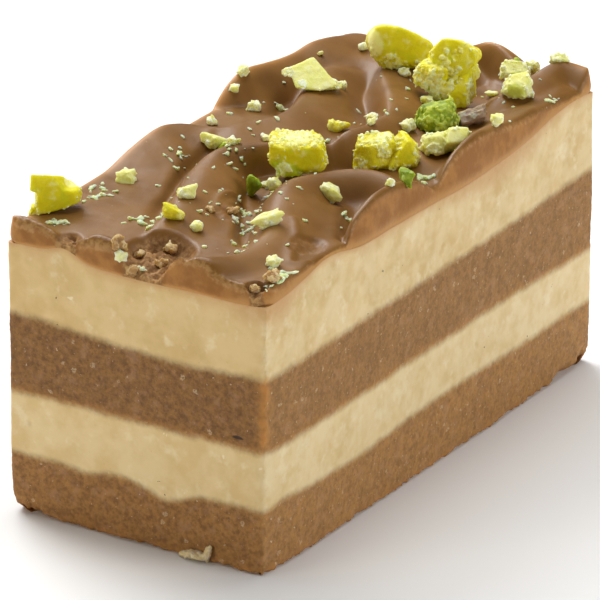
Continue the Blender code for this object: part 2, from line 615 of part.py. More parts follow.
def topping_layer(name, finish, lower):
    """The swirled chocolate, whose cells are crowded towards its edges."""
    shape = box_of_cells(TOPPING_CELLS)
    places = np.array([vert.co for vert in shape.verts])
    x = WIDTH * crowded(places[:, 0], EDGE_CROWDING)
    y = LENGTH * crowded(places[:, 1], EDGE_CROWDING)
    upper = rounded_topping_height(inset_of(x, y))
    between(shape, *around_corners(x, y), lower, upper, TOPPING_BULGE)
    return finished(name, finish, shape)


def lump_shape(lump):
    """One lump around the nut's middle: a block cut down by each of its faces, with chamfered edges."""
    shape = bmesh.new()
    bmesh.ops.create_cube(shape, size=NUT_BLOCK, matrix=Matrix.Translation(lump.middle))
    for right, back, up, distance in lump.faces:
        way = Vector((right, back, up)).normalized()
        everything = shape.verts[:] + shape.edges[:] + shape.faces[:]
        face_middle = Vector(lump.middle) + way * distance
        bmesh.ops.bisect_plane(shape, geom=everything, plane_co=face_middle, plane_no=way, clear_outer=True)
        bmesh.ops.holes_fill(shape, edges=[edge for edge in shape.edges if edge.is_boundary])
    bmesh.ops.remove_doubles(shape, verts=shape.verts[:], dist=NUT_CHAMFER)
    bmesh.ops.bevel(
        shape, geom=shape.edges[:], offset=NUT_CHAMFER, segments=1, affect="EDGES", clamp_overlap=True
    )
    return hull_of(shape)


def hull_of(shape):
    """The convex shape round another's points, which takes the other's place."""
    hull = bmesh.new()
    for vert in shape.verts:
        hull.verts.new(vert.co)
    shape.free()
    bmesh.ops.remove_doubles(hull, verts=hull.verts[:], dist=NUT_MERGE)
    made = bmesh.ops.convex_hull(hull, input=hull.verts[:])
    bmesh.ops.delete(hull, geom=made["geom_interior"] + made["geom_unused"], context="VERTS")
    return hull


def loose_object(name, shape):
    """A helper object from a shape."""
    mesh = bpy.data.meshes.new(name)
    shape.to_mesh(mesh)
    shape.free()
    made = bpy.data.objects.new(name, mesh)
    bpy.context.scene.collection.objects.link(made)
    return made


def combined(first, others, operation):
    """The shape of the first helper joined with the others or cut by them, which removes the helpers."""
    for other in others:
        step = first.modifiers.new(other.name, "BOOLEAN")
        step.operation = operation
        step.solver = "EXACT"
        step.object = other
    shape = bmesh.new()
    shape.from_object(first, bpy.context.evaluated_depsgraph_get())
    for helper in (first, *others):
        bpy.data.objects.remove(helper, do_unlink=True)
    return shape


def keep_largest_body(shape):
    """Removes the loose scraps that a cut left beside the main body."""
    left = set(shape.verts)
    bodies = []
    while left:
        body = {left.pop()}
        edge_of_body = list(body)
        while edge_of_body:
            vert = edge_of_body.pop()
            beside = {edge.other_vert(vert) for edge in vert.link_edges} & left
            left -= beside
            body |= beside
            edge_of_body.extend(beside)
        bodies.append(body)
    bodies.sort(key=len)
    scraps = [vert for body in bodies[:-1] for vert in body]
    bmesh.ops.delete(shape, geom=scraps, context="VERTS")


def merged(shape):
    """The shape with its nearest points merged, as far apart as it stays closed."""
    for distance in NUT_MERGES:
        tried = shape.copy()
        bmesh.ops.remove_doubles(tried, verts=tried.verts[:], dist=distance * MM)
        bmesh.ops.dissolve_degenerate(tried, edges=tried.edges[:], dist=distance * MM)
        bmesh.ops.triangulate(tried, faces=tried.faces[:])
        if all(edge.is_manifold and edge.is_contiguous for edge in tried.edges):
            return tried
        tried.free()
    return shape


def lay_nut(nut, topping):
    """A nut on the topping, its underside cut to the chocolate that it lies in."""
    lumps = [loose_object(nut.name + "_lump", lump_shape(lump)) for lump in nut.lumps]
    shape = combined(lumps[0], lumps[1:], "UNION")
    ground = topping_height(*np.array([nut.place]).T)[0]
    middle = Vector((*nut.place, ground + nut.lift)) * MM
    turn = Matrix.Rotation(math.radians(NUT_TURN), 4, "Z")
    shape.transform(Matrix.Translation(middle) @ turn @ Matrix.Scale(MM, 4))
    bed = bmesh.new()
    bed.from_mesh(topping.data)
    bed.transform(Matrix.Translation(Vector((0.0, 0.0, GAP)) * MM))
    whole = loose_object(nut.name + "_whole", shape)
    shape = combined(whole, [loose_object(nut.name + "_bed", bed)], "DIFFERENCE")
    keep_largest_body(shape)
    shape = merged(shape)
    return finished(nut.name, nut.finish, shape)


def material(finish):
    """The finish's material, made the first time that it is asked for."""
    if finish in bpy.data.materials:
        return bpy.data.materials[finish]
    colour, roughness, metallic = FINISHES[finish]
    made = bpy.data.materials.new(finish)
    made.use_nodes = True
    shader = made.node_tree.nodes["Principled BSDF"]
    shader.inputs["Base Color"].default_value = (*colour, 1.0)
    shader.inputs["Roughness"].default_value = roughness
    shader.inputs["Metallic"].default_value = metallic
    made.diffuse_color = (*colour, 1.0)
    return made


def finished(name, finish, shape):
    """The shape as a named, shaded object in the slice's collection."""
    bmesh.ops.triangulate(shape, faces=shape.faces[:])
    mesh = bpy.data.meshes.new(name)
    shape.to_mesh(mesh)
    shape.free()
    mesh.shade_smooth()
    mesh.set_sharp_from_angle(angle=math.radians(SHARP_ANGLE))
    mesh.materials.clear()
    mesh.materials.append(material(finish))
    made = bpy.data.objects.new(name, mesh)
    bpy.data.collections["layered_nougat"].objects.link(made)
    return made


def clear_scene():
    for old in list(bpy.data.objects):
        bpy.data.objects.remove(old, do_unlink=True)


def above(boundary):
    """The height a gap above a boundary, for the layer that lies on it."""
    return lambda x, y: boundary.at(x, y) + GAP


def build():
    clear_scene()
    slice_parts = bpy.data.collections.new("layered_nougat")
    bpy.context.scene.collection.children.link(slice_parts)
    flat = FLAT_LAYER_CELLS
    nougat_layer(
        "base_nougat", "brown_nougat", flat, lambda x, y: np.zeros(x.shape), BASE_TOP.at, on_floor=True
    )
    nougat_layer("lower_cream", "cream_nougat", flat, above(BASE_TOP), LOWER_CREAM_TOP.at)
    nougat_layer("middle_nougat", "brown_nougat", flat, above(LOWER_CREAM_TOP), MIDDLE_TOP.at)
    nougat_layer("upper_cream", "cream_nougat", UPPER_CREAM_CELLS, above(MIDDLE_TOP), UPPER_CREAM_TOP.at)
    topping = topping_layer("chocolate_topping", "milk_chocolate", above(UPPER_CREAM_TOP))
    for nut in NUTS:
        lay_nut(nut, topping)


build()
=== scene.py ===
"""Looks of a layered nougat slice with a swirled milk chocolate topping and chopped pistachio.

Sizes are in millimetres unless a name says otherwise, and MM turns them into metres. +Z is up, the
slice is longest along Y, its front face looks along -Y and its right face along +X.
"""
import logging
import math
from dataclasses import dataclass, field
from enum import Enum
from typing import Any, Callable, Iterable, Mapping, Optional, Sequence, Union

import bmesh
import bpy
import numpy as np
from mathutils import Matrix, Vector
from mathutils.kdtree import KDTree


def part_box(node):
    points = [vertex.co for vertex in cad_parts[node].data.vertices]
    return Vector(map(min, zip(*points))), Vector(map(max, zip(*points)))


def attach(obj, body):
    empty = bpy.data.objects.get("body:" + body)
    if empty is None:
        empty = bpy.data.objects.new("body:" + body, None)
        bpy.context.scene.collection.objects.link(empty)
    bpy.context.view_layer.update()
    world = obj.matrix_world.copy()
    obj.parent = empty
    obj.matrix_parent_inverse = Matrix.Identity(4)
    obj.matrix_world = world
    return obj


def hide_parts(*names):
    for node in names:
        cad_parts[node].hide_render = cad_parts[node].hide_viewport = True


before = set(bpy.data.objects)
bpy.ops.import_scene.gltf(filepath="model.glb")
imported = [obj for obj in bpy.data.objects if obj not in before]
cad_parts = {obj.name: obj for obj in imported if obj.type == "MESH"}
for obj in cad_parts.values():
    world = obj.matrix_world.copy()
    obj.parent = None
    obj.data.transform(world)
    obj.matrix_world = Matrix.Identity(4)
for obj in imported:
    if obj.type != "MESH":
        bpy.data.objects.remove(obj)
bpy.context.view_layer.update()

log = logging.getLogger("layered_nougat")

Array = np.ndarray
Colour = tuple[float, float, float]
Triple = tuple[float, float, float]
Pair = tuple[float, float]
Piece = bpy.types.Object
Material = bpy.types.Material
Ground = Callable[[Array, Array], Array]
MM = 0.001
PER_MM = 1000.0
SHARP = math.radians(60.0)
TINY = 1e-6
FRONT_TURN = 32.11
BODY = "root"


# -------- Shader maths --------


class Value:
    """A number that varies over a surface, with the arithmetic that adds its Math nodes."""

    def __init__(self, graph: "Graph", socket: bpy.types.NodeSocket) -> None:
        """Wraps a node's output socket."""
        self.graph = graph
        self.socket = socket

    def _math(self, operation: str, *terms: "Number") -> "Value":
        """The output of a Math node on these terms."""
        node = self.graph.add("ShaderNodeMath", {"operation": operation}, dict(enumerate(terms)))
        return Value(self.graph, node.outputs[0])

    def __add__(self, other: "Number") -> "Value":
        """self + other."""
        return self._math("ADD", self, other)

    def __radd__(self, other: "Number") -> "Value":
        """other + self."""
        return self._math("ADD", other, self)

    def __sub__(self, other: "Number") -> "Value":
        """self - other."""
        return self._math("SUBTRACT", self, other)

    def __rsub__(self, other: "Number") -> "Value":
        """other - self."""
        return self._math("SUBTRACT", other, self)

    def __mul__(self, other: "Number") -> "Value":
        """self * other."""
        return self._math("MULTIPLY", self, other)

    def __rmul__(self, other: "Number") -> "Value":
        """other * self."""
        return self._math("MULTIPLY", other, self)

    def at_most(self, other: "Number") -> "Value":
        """The smaller of the two."""
        return self._math("MINIMUM", self, other)

    def over(self, limit: float) -> "Value":
        """1 where the value is over limit, and 0 elsewhere."""
        return self._math("GREATER_THAN", self, limit)

    def ease(self, low: float, high: float) -> "Value":
        """A smooth rise from 0 to 1, or a fall if low is over high.

        Args:
            low: Where it is 0.
            high: Where it is 1.

        Returns:
            The eased value.
        """
        falls = low > high
        sockets = {
            "Value": self,
            "From Min": min(low, high),
            "From Max": max(low, high),
            "To Min": 1.0 if falls else 0.0,
            "To Max": 0.0 if falls else 1.0,
        }
        node = self.graph.add("ShaderNodeMapRange", {"interpolation_type": "SMOOTHSTEP"}, sockets)
        return Value(self.graph, node.outputs[0])


Number = Union[Value, float]


class Graph:
    """The node tree of one material, measured in millimetres on the piece."""

    NOISE_ROUGHNESS = 0.6
    SPECK_BEND_DETAIL = 3.0
    SPECK_BEND = 0.5
    SPECK_LEAST = 0.5
    SPECK_SPREAD = 0.6
    SPECK_FADE = 0.25

    def __init__(self, name: str) -> None:
        """Makes a material with a bare Principled shader.

        Args:
            name: The material's name.
        """
        self.material = bpy.data.materials.new(name)
        self.material.use_nodes = True
        self.nodes = self.material.node_tree.nodes
        self.links = self.material.node_tree.links
        self.shader = self.nodes["Principled BSDF"]
        place = self.add("ShaderNodeTexCoord", {}, {})
        self.place = self.vector("SCALE", place.outputs["Object"], scale=PER_MM)

    def add(
        self, kind: str, settings: Mapping[str, Any], sockets: Mapping[Any, Any]
    ) -> bpy.types.Node:
        """Adds a node.

        Args:
            kind: The node's type.
            settings: Its own settings, set before its sockets.
            sockets: A Value, a socket to link or a plain value, for each input by name or number.

        Returns:
            The node.
        """
        node = self.nodes.new(kind)
        for name, value in settings.items():
            setattr(node, name, value)
        for name, value in sockets.items():
            self.feed(node.inputs[name], value)
        return node

    def feed(self, target: bpy.types.NodeSocket, value: Any) -> None:
        """Links an input, or sets it.

        Args:
            target: The input.
            value: A Value or a socket to link, or a plain value to set.
        """
        if isinstance(value, Value):
            self.links.new(value.socket, target)
        elif isinstance(value, bpy.types.NodeSocket):
            self.links.new(value, target)
        elif isinstance(value, tuple) and len(value) == 3 and target.type == "RGBA":
            target.default_value = (*value, 1.0)
        else:
            target.default_value = value

    def vector(self, operation: str, first: Any, second: Any = None, scale: float = 1.0) -> Any:
        """The output of a Vector Math node."""
        sockets = {0: first, "Scale": scale} if second is None else {0: first, 1: second}
        return self.add("ShaderNodeVectorMath", {"operation": operation}, sockets).outputs[0]

    def noise(self, size: float, detail: float = 2.0, shift: float = 0.0) -> Value:
        """Soft noise from about 0 to 1.

        Args:
            size: How large its blotches are.
            detail: How many finer layers it has.
            shift: Moves it, so that two noises of one size differ.

        Returns:
            The noise.
        """
        place = self.vector("ADD", self.place, (shift, 2.0 * shift, -shift))
        sockets = {"Vector": place, "Scale": 1.0 / size, "Detail": detail, "Roughness": self.NOISE_ROUGHNESS}
        return Value(self, self.add("ShaderNodeTexNoise", {}, sockets).outputs[0])

    def specks(self, size: float, radius: float, share: float, shift: float = 0.0) -> Value:
        """Small round dots: 1 in a dot and 0 between them.

        Args:
            size: The spacing of the places where a dot may be.
            radius: A dot's radius.
            share: The part of those places that has one.
            shift: Moves them.

        Returns:
            The dots.
        """
        place = self.vector("ADD", self.place, (shift, -shift, 3.0 * shift))
        sockets = {"Vector": place, "Scale": self.SPECK_BEND_DETAIL / size}
        bend = self.add("ShaderNodeTexNoise", {}, sockets).outputs["Color"]
        place = self.vector("ADD", place, self.vector("SCALE", bend, scale=self.SPECK_BEND * size))
        node = self.add("ShaderNodeTexVoronoi", {}, {"Vector": place, "Scale": 1.0 / size})
        part = self.add("ShaderNodeSeparateColor", {}, {0: node.outputs["Color"]})
        chosen = Value(self, part.outputs[0]).over(1.0 - share)
        reach = radius / size
        width = Value(self, part.outputs[1]) * (self.SPECK_SPREAD * reach) + self.SPECK_LEAST * reach
        inside = (width - Value(self, node.outputs["Distance"])).ease(0.0, self.SPECK_FADE * reach)
        return inside * chosen

    def attribute(self, name: str) -> Value:
        """A number stored on the mesh."""
        return Value(self, self.add("ShaderNodeAttribute", {"attribute_name": name}, {}).outputs["Fac"])

    def blend(self, part: Number, first: Any, second: Any) -> bpy.types.NodeSocket:
        """Blends two colours.

        Args:
            part: How much of the second there is, from 0 to 1.
            first: The colour where it is 0.
            second: The colour where it is 1.

        Returns:
            The blended colour.
        """
        settings = {"data_type": "RGBA", "clamp_factor": True}
        node = self.add("ShaderNodeMix", settings, {"Factor": part})
        inputs = [socket for socket in node.inputs if socket.type == "RGBA"]
        self.feed(inputs[0], first)
        self.feed(inputs[1], second)
        return next(socket for socket in node.outputs if socket.type == "RGBA")

    def finish(
        self, colour: Any, roughness: Number, relief: Value, depth: float, **fixed: Any
    ) -> Material:
        """Feeds the shader.

        Args:
            colour: The surface's colour.
            roughness: Its roughness.
            relief: Its fine relief, from 0 to 1.
            depth: How deep the relief is.
            fixed: The shader's other inputs, the same all over the surface.

        Returns:
            The material.
        """
        bump = self.add("ShaderNodeBump", {}, {"Height": relief, "Distance": depth * MM, "Strength": 1.0})
        self.feed(self.shader.inputs["Base Color"], colour)
        self.feed(self.shader.inputs["Roughness"], roughness)
        self.feed(self.shader.inputs["Normal"], bump.outputs[0])
        for name, value in fixed.items():
            self.feed(self.shader.inputs[name.replace("_", " ")], value)
        return self.material


@dataclass(frozen=True)
class Flecks:
    """Dots of one colour. The share is the part of the places, one spacing apart, that has a dot."""

    spacing: float
    radius: float
    share: float
    shift: float
    strength: float
    colour: Colour

    def over(self, g: Graph, ground: Any, where: Optional[Value] = None) -> bpy.types.NodeSocket:
        """Puts the dots on a colour.

        Args:
            g: The material's graph.
            ground: The colour below them.
            where: How much of them shows, from 0 to 1, where it varies.

        Returns:
            The colour with the dots.
        """
        dots = g.specks(self.spacing, self.radius, self.share, self.shift) * self.strength
        return g.blend(dots if where is None else dots * where, ground, self.colour)


@dataclass(frozen=True)
class Patches:
    """Soft patches of one colour, from where a noise is over low to where it is over high."""

    size: float
    shift: float
    low: float
    high: float
    strength: float
    detail: float = 3.0

    def over(self, g: Graph, ground: Any, colour: Any) -> bpy.types.NodeSocket:
        """The ground's colour with the patches on it."""
        part = g.noise(self.size, self.detail, self.shift).ease(self.low, self.high)
        return g.blend(part * self.strength, ground, colour)


# -------- Finishes --------


FLECK = (0.12, 0.065, 0.03)
BROWN_PALE = (0.6, 0.45, 0.27)
CREAM_PALE = (0.83, 0.71, 0.45)


@dataclass(frozen=True)
class CutNougat:
    """The cut faces of the four nougat layers, which melt into one another at their edges."""

    name: str
    brown: Colour = (0.296, 0.134, 0.028)
    brown_dark: Colour = (0.15, 0.063, 0.011)
    brown_gold: Colour = (0.46, 0.245, 0.068)
    brown_pink: Colour = (0.39, 0.2, 0.092)
    cream: Colour = (0.73, 0.545, 0.26)
    cream_deep: Colour = (0.6, 0.405, 0.145)
    # One colour for both: painted glow of light through the foot and the nearest edge, and real caramel over
    # the lower cream.
    warm: Colour = (0.52, 0.22, 0.04)
    caramel: Colour = (0.53, 0.28, 0.092)
    # Near-black painted shade inside the pits.
    pit: Colour = (0.05, 0.022, 0.01)
    # Painted highlight on the right face and its nearest upright edge: the colour and strengths that lighten
    # the brown and the cream there.
    bright: Colour = (0.85, 0.47, 0.15)
    painted_light_brown: float = 0.25
    painted_light_cream: float = 0.6
    relief_depth: float = 0.24
    crumbs: Flecks = Flecks(1.3, 0.3, 0.4, 3.0, 0.6, BROWN_PALE)
    brown_flecks: tuple[Flecks, ...] = (
        Flecks(0.95, 0.16, 0.35, 61.0, 0.85, BROWN_PALE),
        Flecks(0.55, 0.1, 0.4, 91.0, 0.45, BROWN_PALE),
        Flecks(0.5, 0.09, 0.4, 81.0, 0.5, FLECK),
        Flecks(0.75, 0.12, 0.35, 71.0, 0.85, FLECK),
        Flecks(2.6, 0.2, 0.25, 5.0, 0.85, FLECK),
    )
    cream_flecks: tuple[Flecks, ...] = (
        Flecks(2.2, 0.22, 0.3, 9.0, 0.7, CREAM_PALE),
        Flecks(1.7, 0.12, 0.35, 17.0, 0.9, FLECK),
    )
    pink_patches: Patches = Patches(1.3, 31.0, 0.5, 0.7, 0.5)
    pale_patches: Patches = Patches(2.2, 41.0, 0.55, 0.75, 0.5)

    def make(self) -> Material:
        """Builds the material.

        Returns:
            The material.
        """
        g = Graph(self.name)
        broad = g.noise(5.0, 2.0)
        clumps = g.noise(0.9, 3.0, 7.0)
        grain = g.noise(0.4, 4.0, 17.0)
        fine = g.noise(0.13, 3.0, 13.0)
        edge = g.attribute("cream_side") + (grain - 0.5) * 0.3 + (g.noise(1.8, 2.0, 3.0) - 0.5) * 0.6
        in_cream = edge.ease(-0.62, 0.52)
        brown = self.brown_part(g, broad, clumps, grain, fine)
        colour = g.blend(in_cream, brown, self.cream_part(g, broad, grain))
        # Painted shade: the pits are painted near-black.
        colour = g.blend(g.attribute("pit").ease(0.3, 0.6), colour, self.pit)
        crumbs = g.specks(0.95, 0.16, 0.3, 61.0)
        relief = clumps * 0.4 + grain * 0.4 + fine * 0.3 + crumbs * 0.3
        relief = relief - in_cream * (clumps * 0.32 + grain * 0.36 + fine * 0.28 + crumbs * 0.3)
        roughness = 0.72 - in_cream * 0.24 - g.specks(0.8, 0.1, 0.2, 23.0) * 0.35
        fixed = {"Subsurface_Weight": 0.06, "Subsurface_Scale": 0.0015}
        return g.finish(colour, roughness, relief, self.relief_depth, **fixed)

    def brown_part(self, g: Graph, broad: Value, clumps: Value, grain: Value, fine: Value) -> Any:
        """The mottled brown, with painted glow at its foot and nearest edge and painted highlight.

        Args:
            g: The material's graph.
            broad, clumps, grain, fine: Its noises, from the largest blotches to the smallest.

        Returns:
            The colour.
        """
        brown = g.blend((grain * 0.5 + clumps * 0.5).ease(0.34, 0.64), self.brown_dark, self.brown)
        brown = self.pink_patches.over(g, brown, self.brown_pink)
        brown = g.blend((fine * 0.5 + grain * 0.5).ease(0.55, 0.72) * 0.35, brown, self.brown_gold)
        brown = g.blend(broad.ease(0.5, 0.3) * 0.2, brown, self.brown_dark)
        brown = self.crumbs.over(g, brown, fine.ease(0.36, 0.56))
        for flecks in self.brown_flecks:
            brown = flecks.over(g, brown)
        # Painted highlight: lightens the brown on the right face, most at the nearest upright edge.
        brown = g.blend(g.attribute("bright") * self.painted_light_brown, brown, self.bright)
        # Painted glow at the foot and up the nearest edge, and real caramel above the lower cream.
        return g.blend(g.attribute("warm") * (clumps + 0.4), brown, self.warm)

    def cream_part(self, g: Graph, broad: Value, grain: Value) -> Any:
        """The cream, with caramel-brown smears below the chocolate.

        Args:
            g: The material's graph.
            broad, grain: Its noises.

        Returns:
            The colour.
        """
        mottle = (broad * 0.75 + g.noise(1.6, 3.0, 44.0) * 0.35).ease(0.4, 0.68)
        cream = g.blend(mottle, self.cream_deep, self.cream)
        cream = self.pale_patches.over(g, cream, CREAM_PALE)
        for flecks in self.cream_flecks:
            cream = flecks.over(g, cream)
        # Painted highlight: lightens the cream on the right face, most at the nearest upright edge.
        light = g.attribute("bright") * g.noise(1.8, 3.0, 47.0).ease(0.36, 0.62)
        cream = g.blend(light * self.painted_light_cream, cream, CREAM_PALE)
        return g.blend((g.attribute("smear") * (0.75 + grain * 0.5)).at_most(1.0), cream, self.caramel)


@dataclass(frozen=True)
class MilkChocolate:
    """Satin milk chocolate: warmer on its cut edges, matt and crumbly where it is torn, with painted
    backlight glow at the back.
    """

    name: str = "milk_chocolate"
    smooth: Colour = (0.235, 0.108, 0.024)
    deep: Colour = (0.19, 0.082, 0.014)
    cut: Colour = (0.285, 0.11, 0.0155)
    cut_warm: Colour = (0.39, 0.167, 0.032)
    melted: Colour = (0.46, 0.225, 0.06)
    torn: Colour = (0.25, 0.12, 0.038)
    torn_pale: Colour = (0.42, 0.23, 0.085)
    rim: Colour = (0.56, 0.33, 0.125)
    # Painted backlight glow along the hidden back and left edges.
    thin: Colour = (0.62, 0.3, 0.09)
    dust: Flecks = Flecks(1.6, 0.09, 0.3, 2.0, 0.6, (0.62, 0.52, 0.36))
    relief_depth: float = 0.12

    def make(self) -> Material:
        """Builds the material.

        Returns:
            The material.
        """
        g = Graph(self.name)
        broad = g.noise(6.0, 2.0, 4.0)
        grain = g.noise(0.5, 4.0, 8.0)
        fine = g.noise(0.14, 3.0, 1.0)
        torn = g.attribute("torn")
        cut = g.attribute("cut")
        colour = g.blend(broad.ease(0.35, 0.65), self.deep, self.smooth)
        walls = g.blend(g.noise(2.4, 3.0, 12.0).ease(0.4, 0.66), self.cut, self.cut_warm)
        colour = g.blend(cut, colour, walls)
        colour = g.blend((g.attribute("melt") + (grain - 0.5) * 0.3).ease(0.12, 0.95), colour, self.melted)
        broken = g.blend(grain.ease(0.42, 0.66), self.torn, self.torn_pale)
        colour = g.blend(torn.ease(0.15, 0.6), colour, broken)
        colour = g.blend((g.attribute("rim") * (grain * 1.6 - 0.25)).ease(0.2, 0.7) * 0.5, colour, self.rim)
        # Painted backlight glow along the hidden back and left edges.
        colour = g.blend(g.attribute("thin"), colour, self.thin)
        colour = self.dust.over(g, colour)
        roughness = 0.4 + (broad - 0.5) * 0.12 + (fine - 0.5) * 0.08 + torn * 0.35 + cut * 0.15
        relief = fine * 0.12 + grain * 0.1 + torn * grain * 1.4 + cut * grain * 0.4
        fixed = {"Specular_IOR_Level": 0.27, "Subsurface_Weight": 0.05, "Subsurface_Scale": 0.0015}
        return g.finish(colour, roughness, relief, self.relief_depth, **fixed)


class Crumble(Enum):
    """What a chopped piece or a crumb is made of."""

    YELLOW = "yellow kernel"
    PALE = "pale kernel"
    GREEN = "green kernel"
    SKIN = "nut skin"
    DUST = "fine nut dust"
    CHOCOLATE = "torn chocolate"
    CREAM = "cream nougat"


@dataclass(frozen=True)
class CrumblyFinish:
    """A chopped piece: its smooth cuts, its crumbs and its darker outside, and the slot it belongs to."""

    name: str
    slot: str
    flesh: Colour
    flesh_deep: Colour
    crumb: Colour
    crumb_cool: Colour
    outside: Colour
    skin: Colour = (0.33, 0.15, 0.085)
    grain_depth: float = 0.12
    crumb_patches: Patches = Patches(1.1, 33.0, 0.52, 0.72, 0.45)
    outside_patches: Patches = Patches(1.4, 51.0, 0.54, 0.72, 0.5)

    def make(self) -> Material:
        """Builds the material.

        Returns:
            The material.
        """
        g = Graph(self.name)
        broad = g.noise(2.2, 2.0, 6.0)
        grain = g.noise(0.45, 3.0, 2.0)
        fine = g.noise(0.12, 3.0, 5.0)
        crumbed = g.attribute("crumbed")
        tone = g.attribute("tone")
        colour = g.blend((broad * 0.7 + grain * 0.35).ease(0.4, 0.68), self.flesh_deep, self.flesh)
        colour = self.crumb_patches.over(g, colour, self.crumb)
        colour = self.outside_patches.over(g, colour, self.outside)
        colour = g.blend((g.attribute("outside") + (grain - 0.5) * 0.6).ease(0.3, 0.8), colour, self.outside)
        crumb = g.blend(tone.ease(0.5, 0.85), self.crumb, self.crumb_cool)
        pale = (g.attribute("pale") + (grain - 0.5) * 0.5).ease(0.2, 0.8)
        colour = g.blend(pale * 0.75, colour, self.crumb)
        colour = g.blend((crumbed * (0.35 + tone * 0.7)).at_most(0.9), colour, crumb)
        colour = g.blend((g.attribute("skin") + (grain - 0.5) * 0.7).ease(0.35, 0.65), colour, self.skin)
        relief = grain * 0.45 + fine * 0.45 + crumbed * (grain * 0.4 + fine * 0.4)
        fixed = {
            "Specular_IOR_Level": 0.3,
            "Subsurface_Weight": 0.6,
            "Subsurface_Scale": 0.0012,
            "Subsurface_Radius": (1.0, 0.9, 0.3),
        }
        return g.finish(colour, 0.46 + crumbed * 0.16, relief, self.grain_depth, **fixed)


@dataclass(frozen=True)
class StudioFloor:
    """A plain white floor."""

    name: str = "studio_floor"
    colour: Colour = (0.88, 0.88, 0.88)
    shade: Colour = (0.85, 0.85, 0.85)
    roughness: float = 0.9
    relief_depth: float = 0.01

    def make(self) -> Material:
        """Builds the material.

        Returns:
            The material.
        """
        g = Graph(self.name)
        tone = g.blend(g.noise(60.0, 1.0) * 0.05, self.colour, self.shade)
        return g.finish(tone, self.roughness, g.noise(3.0, 1.0), self.relief_depth)


CRUMBLY = {
    Crumble.CREAM: CrumblyFinish(
        "cream_flakes", "cream_nougat",
        (0.72, 0.56, 0.34), (0.56, 0.4, 0.2), (0.82, 0.7, 0.48), (0.78, 0.68, 0.5), (0.6, 0.42, 0.22),
    ),
    Crumble.CHOCOLATE: CrumblyFinish(
        "chocolate_crumbs", "milk_chocolate",
        (0.34, 0.18, 0.06), (0.24, 0.12, 0.035), (0.52, 0.32, 0.13), (0.66, 0.5, 0.27), (0.24, 0.12, 0.035),
    ),
    Crumble.YELLOW: CrumblyFinish(
        "pistachio_yellow", "pistachio_yellow",
        (0.80, 0.72, 0.004), (0.7, 0.62, 0.002), (0.93, 0.9, 0.38), (0.84, 0.92, 0.52), (0.52, 0.6, 0.004),
    ),
    Crumble.PALE: CrumblyFinish(
        "pistachio_pale", "pistachio_pale",
        (0.84, 0.83, 0.36), (0.76, 0.75, 0.2), (0.92, 0.92, 0.58), (0.84, 0.93, 0.68), (0.64, 0.68, 0.1),
    ),
    Crumble.GREEN: CrumblyFinish(
        "pistachio_green", "pistachio_green",
        (0.34, 0.44, 0.008), (0.16, 0.25, 0.004), (0.6, 0.68, 0.1), (0.5, 0.64, 0.14), (0.08, 0.14, 0.004),
    ),
    Crumble.SKIN: CrumblyFinish(
        "nut_skin", "",
        (0.42, 0.29, 0.19), (0.26, 0.16, 0.1), (0.55, 0.42, 0.29), (0.44, 0.42, 0.32), (0.2, 0.11, 0.09),
    ),
    Crumble.DUST: CrumblyFinish(
        "nut_dust", "pistachio_pale",
        (0.76, 0.86, 0.44), (0.58, 0.74, 0.3), (0.88, 0.92, 0.6), (0.66, 0.92, 0.62), (0.36, 0.66, 0.32),
    ),
}


# -------- Shape maths --------


def ease(low: float, high: float, value: Any) -> Any:
    """0 below low and 1 above high, with a smooth rise between."""
    part = np.clip((value - low) / (high - low), 0.0, 1.0)
    return part * part * (3.0 - 2.0 * part)


def bell(offset: Any, reach: float) -> Any:
    """1 where the offset is 0, falling smoothly to about a third at the reach."""
    return np.exp(-((offset / reach) ** 2))


def triples(x: Array, y: Array, z: Array) -> Array:
    """Points, one row each, from their coordinates."""
    return np.stack([x, y, z], axis=-1)


@dataclass(frozen=True)
class Waves:
    """A noise's strength and size, how many layers it has and how much weaker each is than the last."""

    strength: float
    size: float
    layers: int
    fall: float = 0.5


class Grain:
    """Smooth noise in space from about -1 to 1, the same each run."""

    CORNERS = tuple((a, b, c) for a in (0, 1) for b in (0, 1) for c in (0, 1))
    TABLE = 512
    STRENGTH = 1.6
    LAYER_SHIFT = 17.0

    def __init__(self, seed: int) -> None:
        """Draws the slopes that the noise is made from.

        Args:
            seed: Which of the possible noises it is.
        """
        draw = np.random.default_rng(seed)
        self.order = draw.permutation(self.TABLE)
        slopes = draw.normal(size=(self.TABLE, 3))
        self.slopes = slopes / np.linalg.norm(slopes, axis=1, keepdims=True)

    def at(self, points: Array, size: float) -> Array:
        """The noise.

        Args:
            points: Where, one row each.
            size: How large its blotches are.

        Returns:
            Its value at each point.
        """
        scaled = points / size
        cell = np.floor(scaled).astype(np.int64)
        part = scaled - cell
        fade = part * part * part * (part * (part * 6.0 - 15.0) + 10.0)
        total = np.zeros(len(points))
        for corner in self.CORNERS:
            number = self.order[(cell[:, 0] + corner[0]) % self.TABLE]
            number = self.order[(number + cell[:, 1] + corner[1]) % self.TABLE]
            number = self.order[(number + cell[:, 2] + corner[2]) % self.TABLE]
            weight = np.prod(np.where(corner, fade, 1.0 - fade), axis=1)
            total += weight * np.einsum("ij,ij->i", self.slopes[number], part - corner)
        return self.STRENGTH * total

    def layered(self, points: Array, waves: Waves) -> Array:
        """Noise with finer layers on it, each half as large as the last.

        Args:
            points: Where, one row each.
            waves: What it is like.

        Returns:
            Its value at each point.
        """
        total = np.zeros(len(points))
        for layer in range(waves.layers):
            size = waves.size / 2.0**layer
            total += waves.fall**layer * self.at(points + self.LAYER_SHIFT * layer, size)
        return waves.strength * total


@dataclass(frozen=True)
class Swell:
    """A soft rise in a surface, or a sink where rise is negative."""

    x: float
    y: float
    rise: float
    reach_x: float
    reach_y: float

    def at(self, x: Array, y: Array) -> Array:
        """The height it adds."""
        return self.rise * np.exp(-(((x - self.x) / self.reach_x) ** 2) - ((y - self.y) / self.reach_y) ** 2)


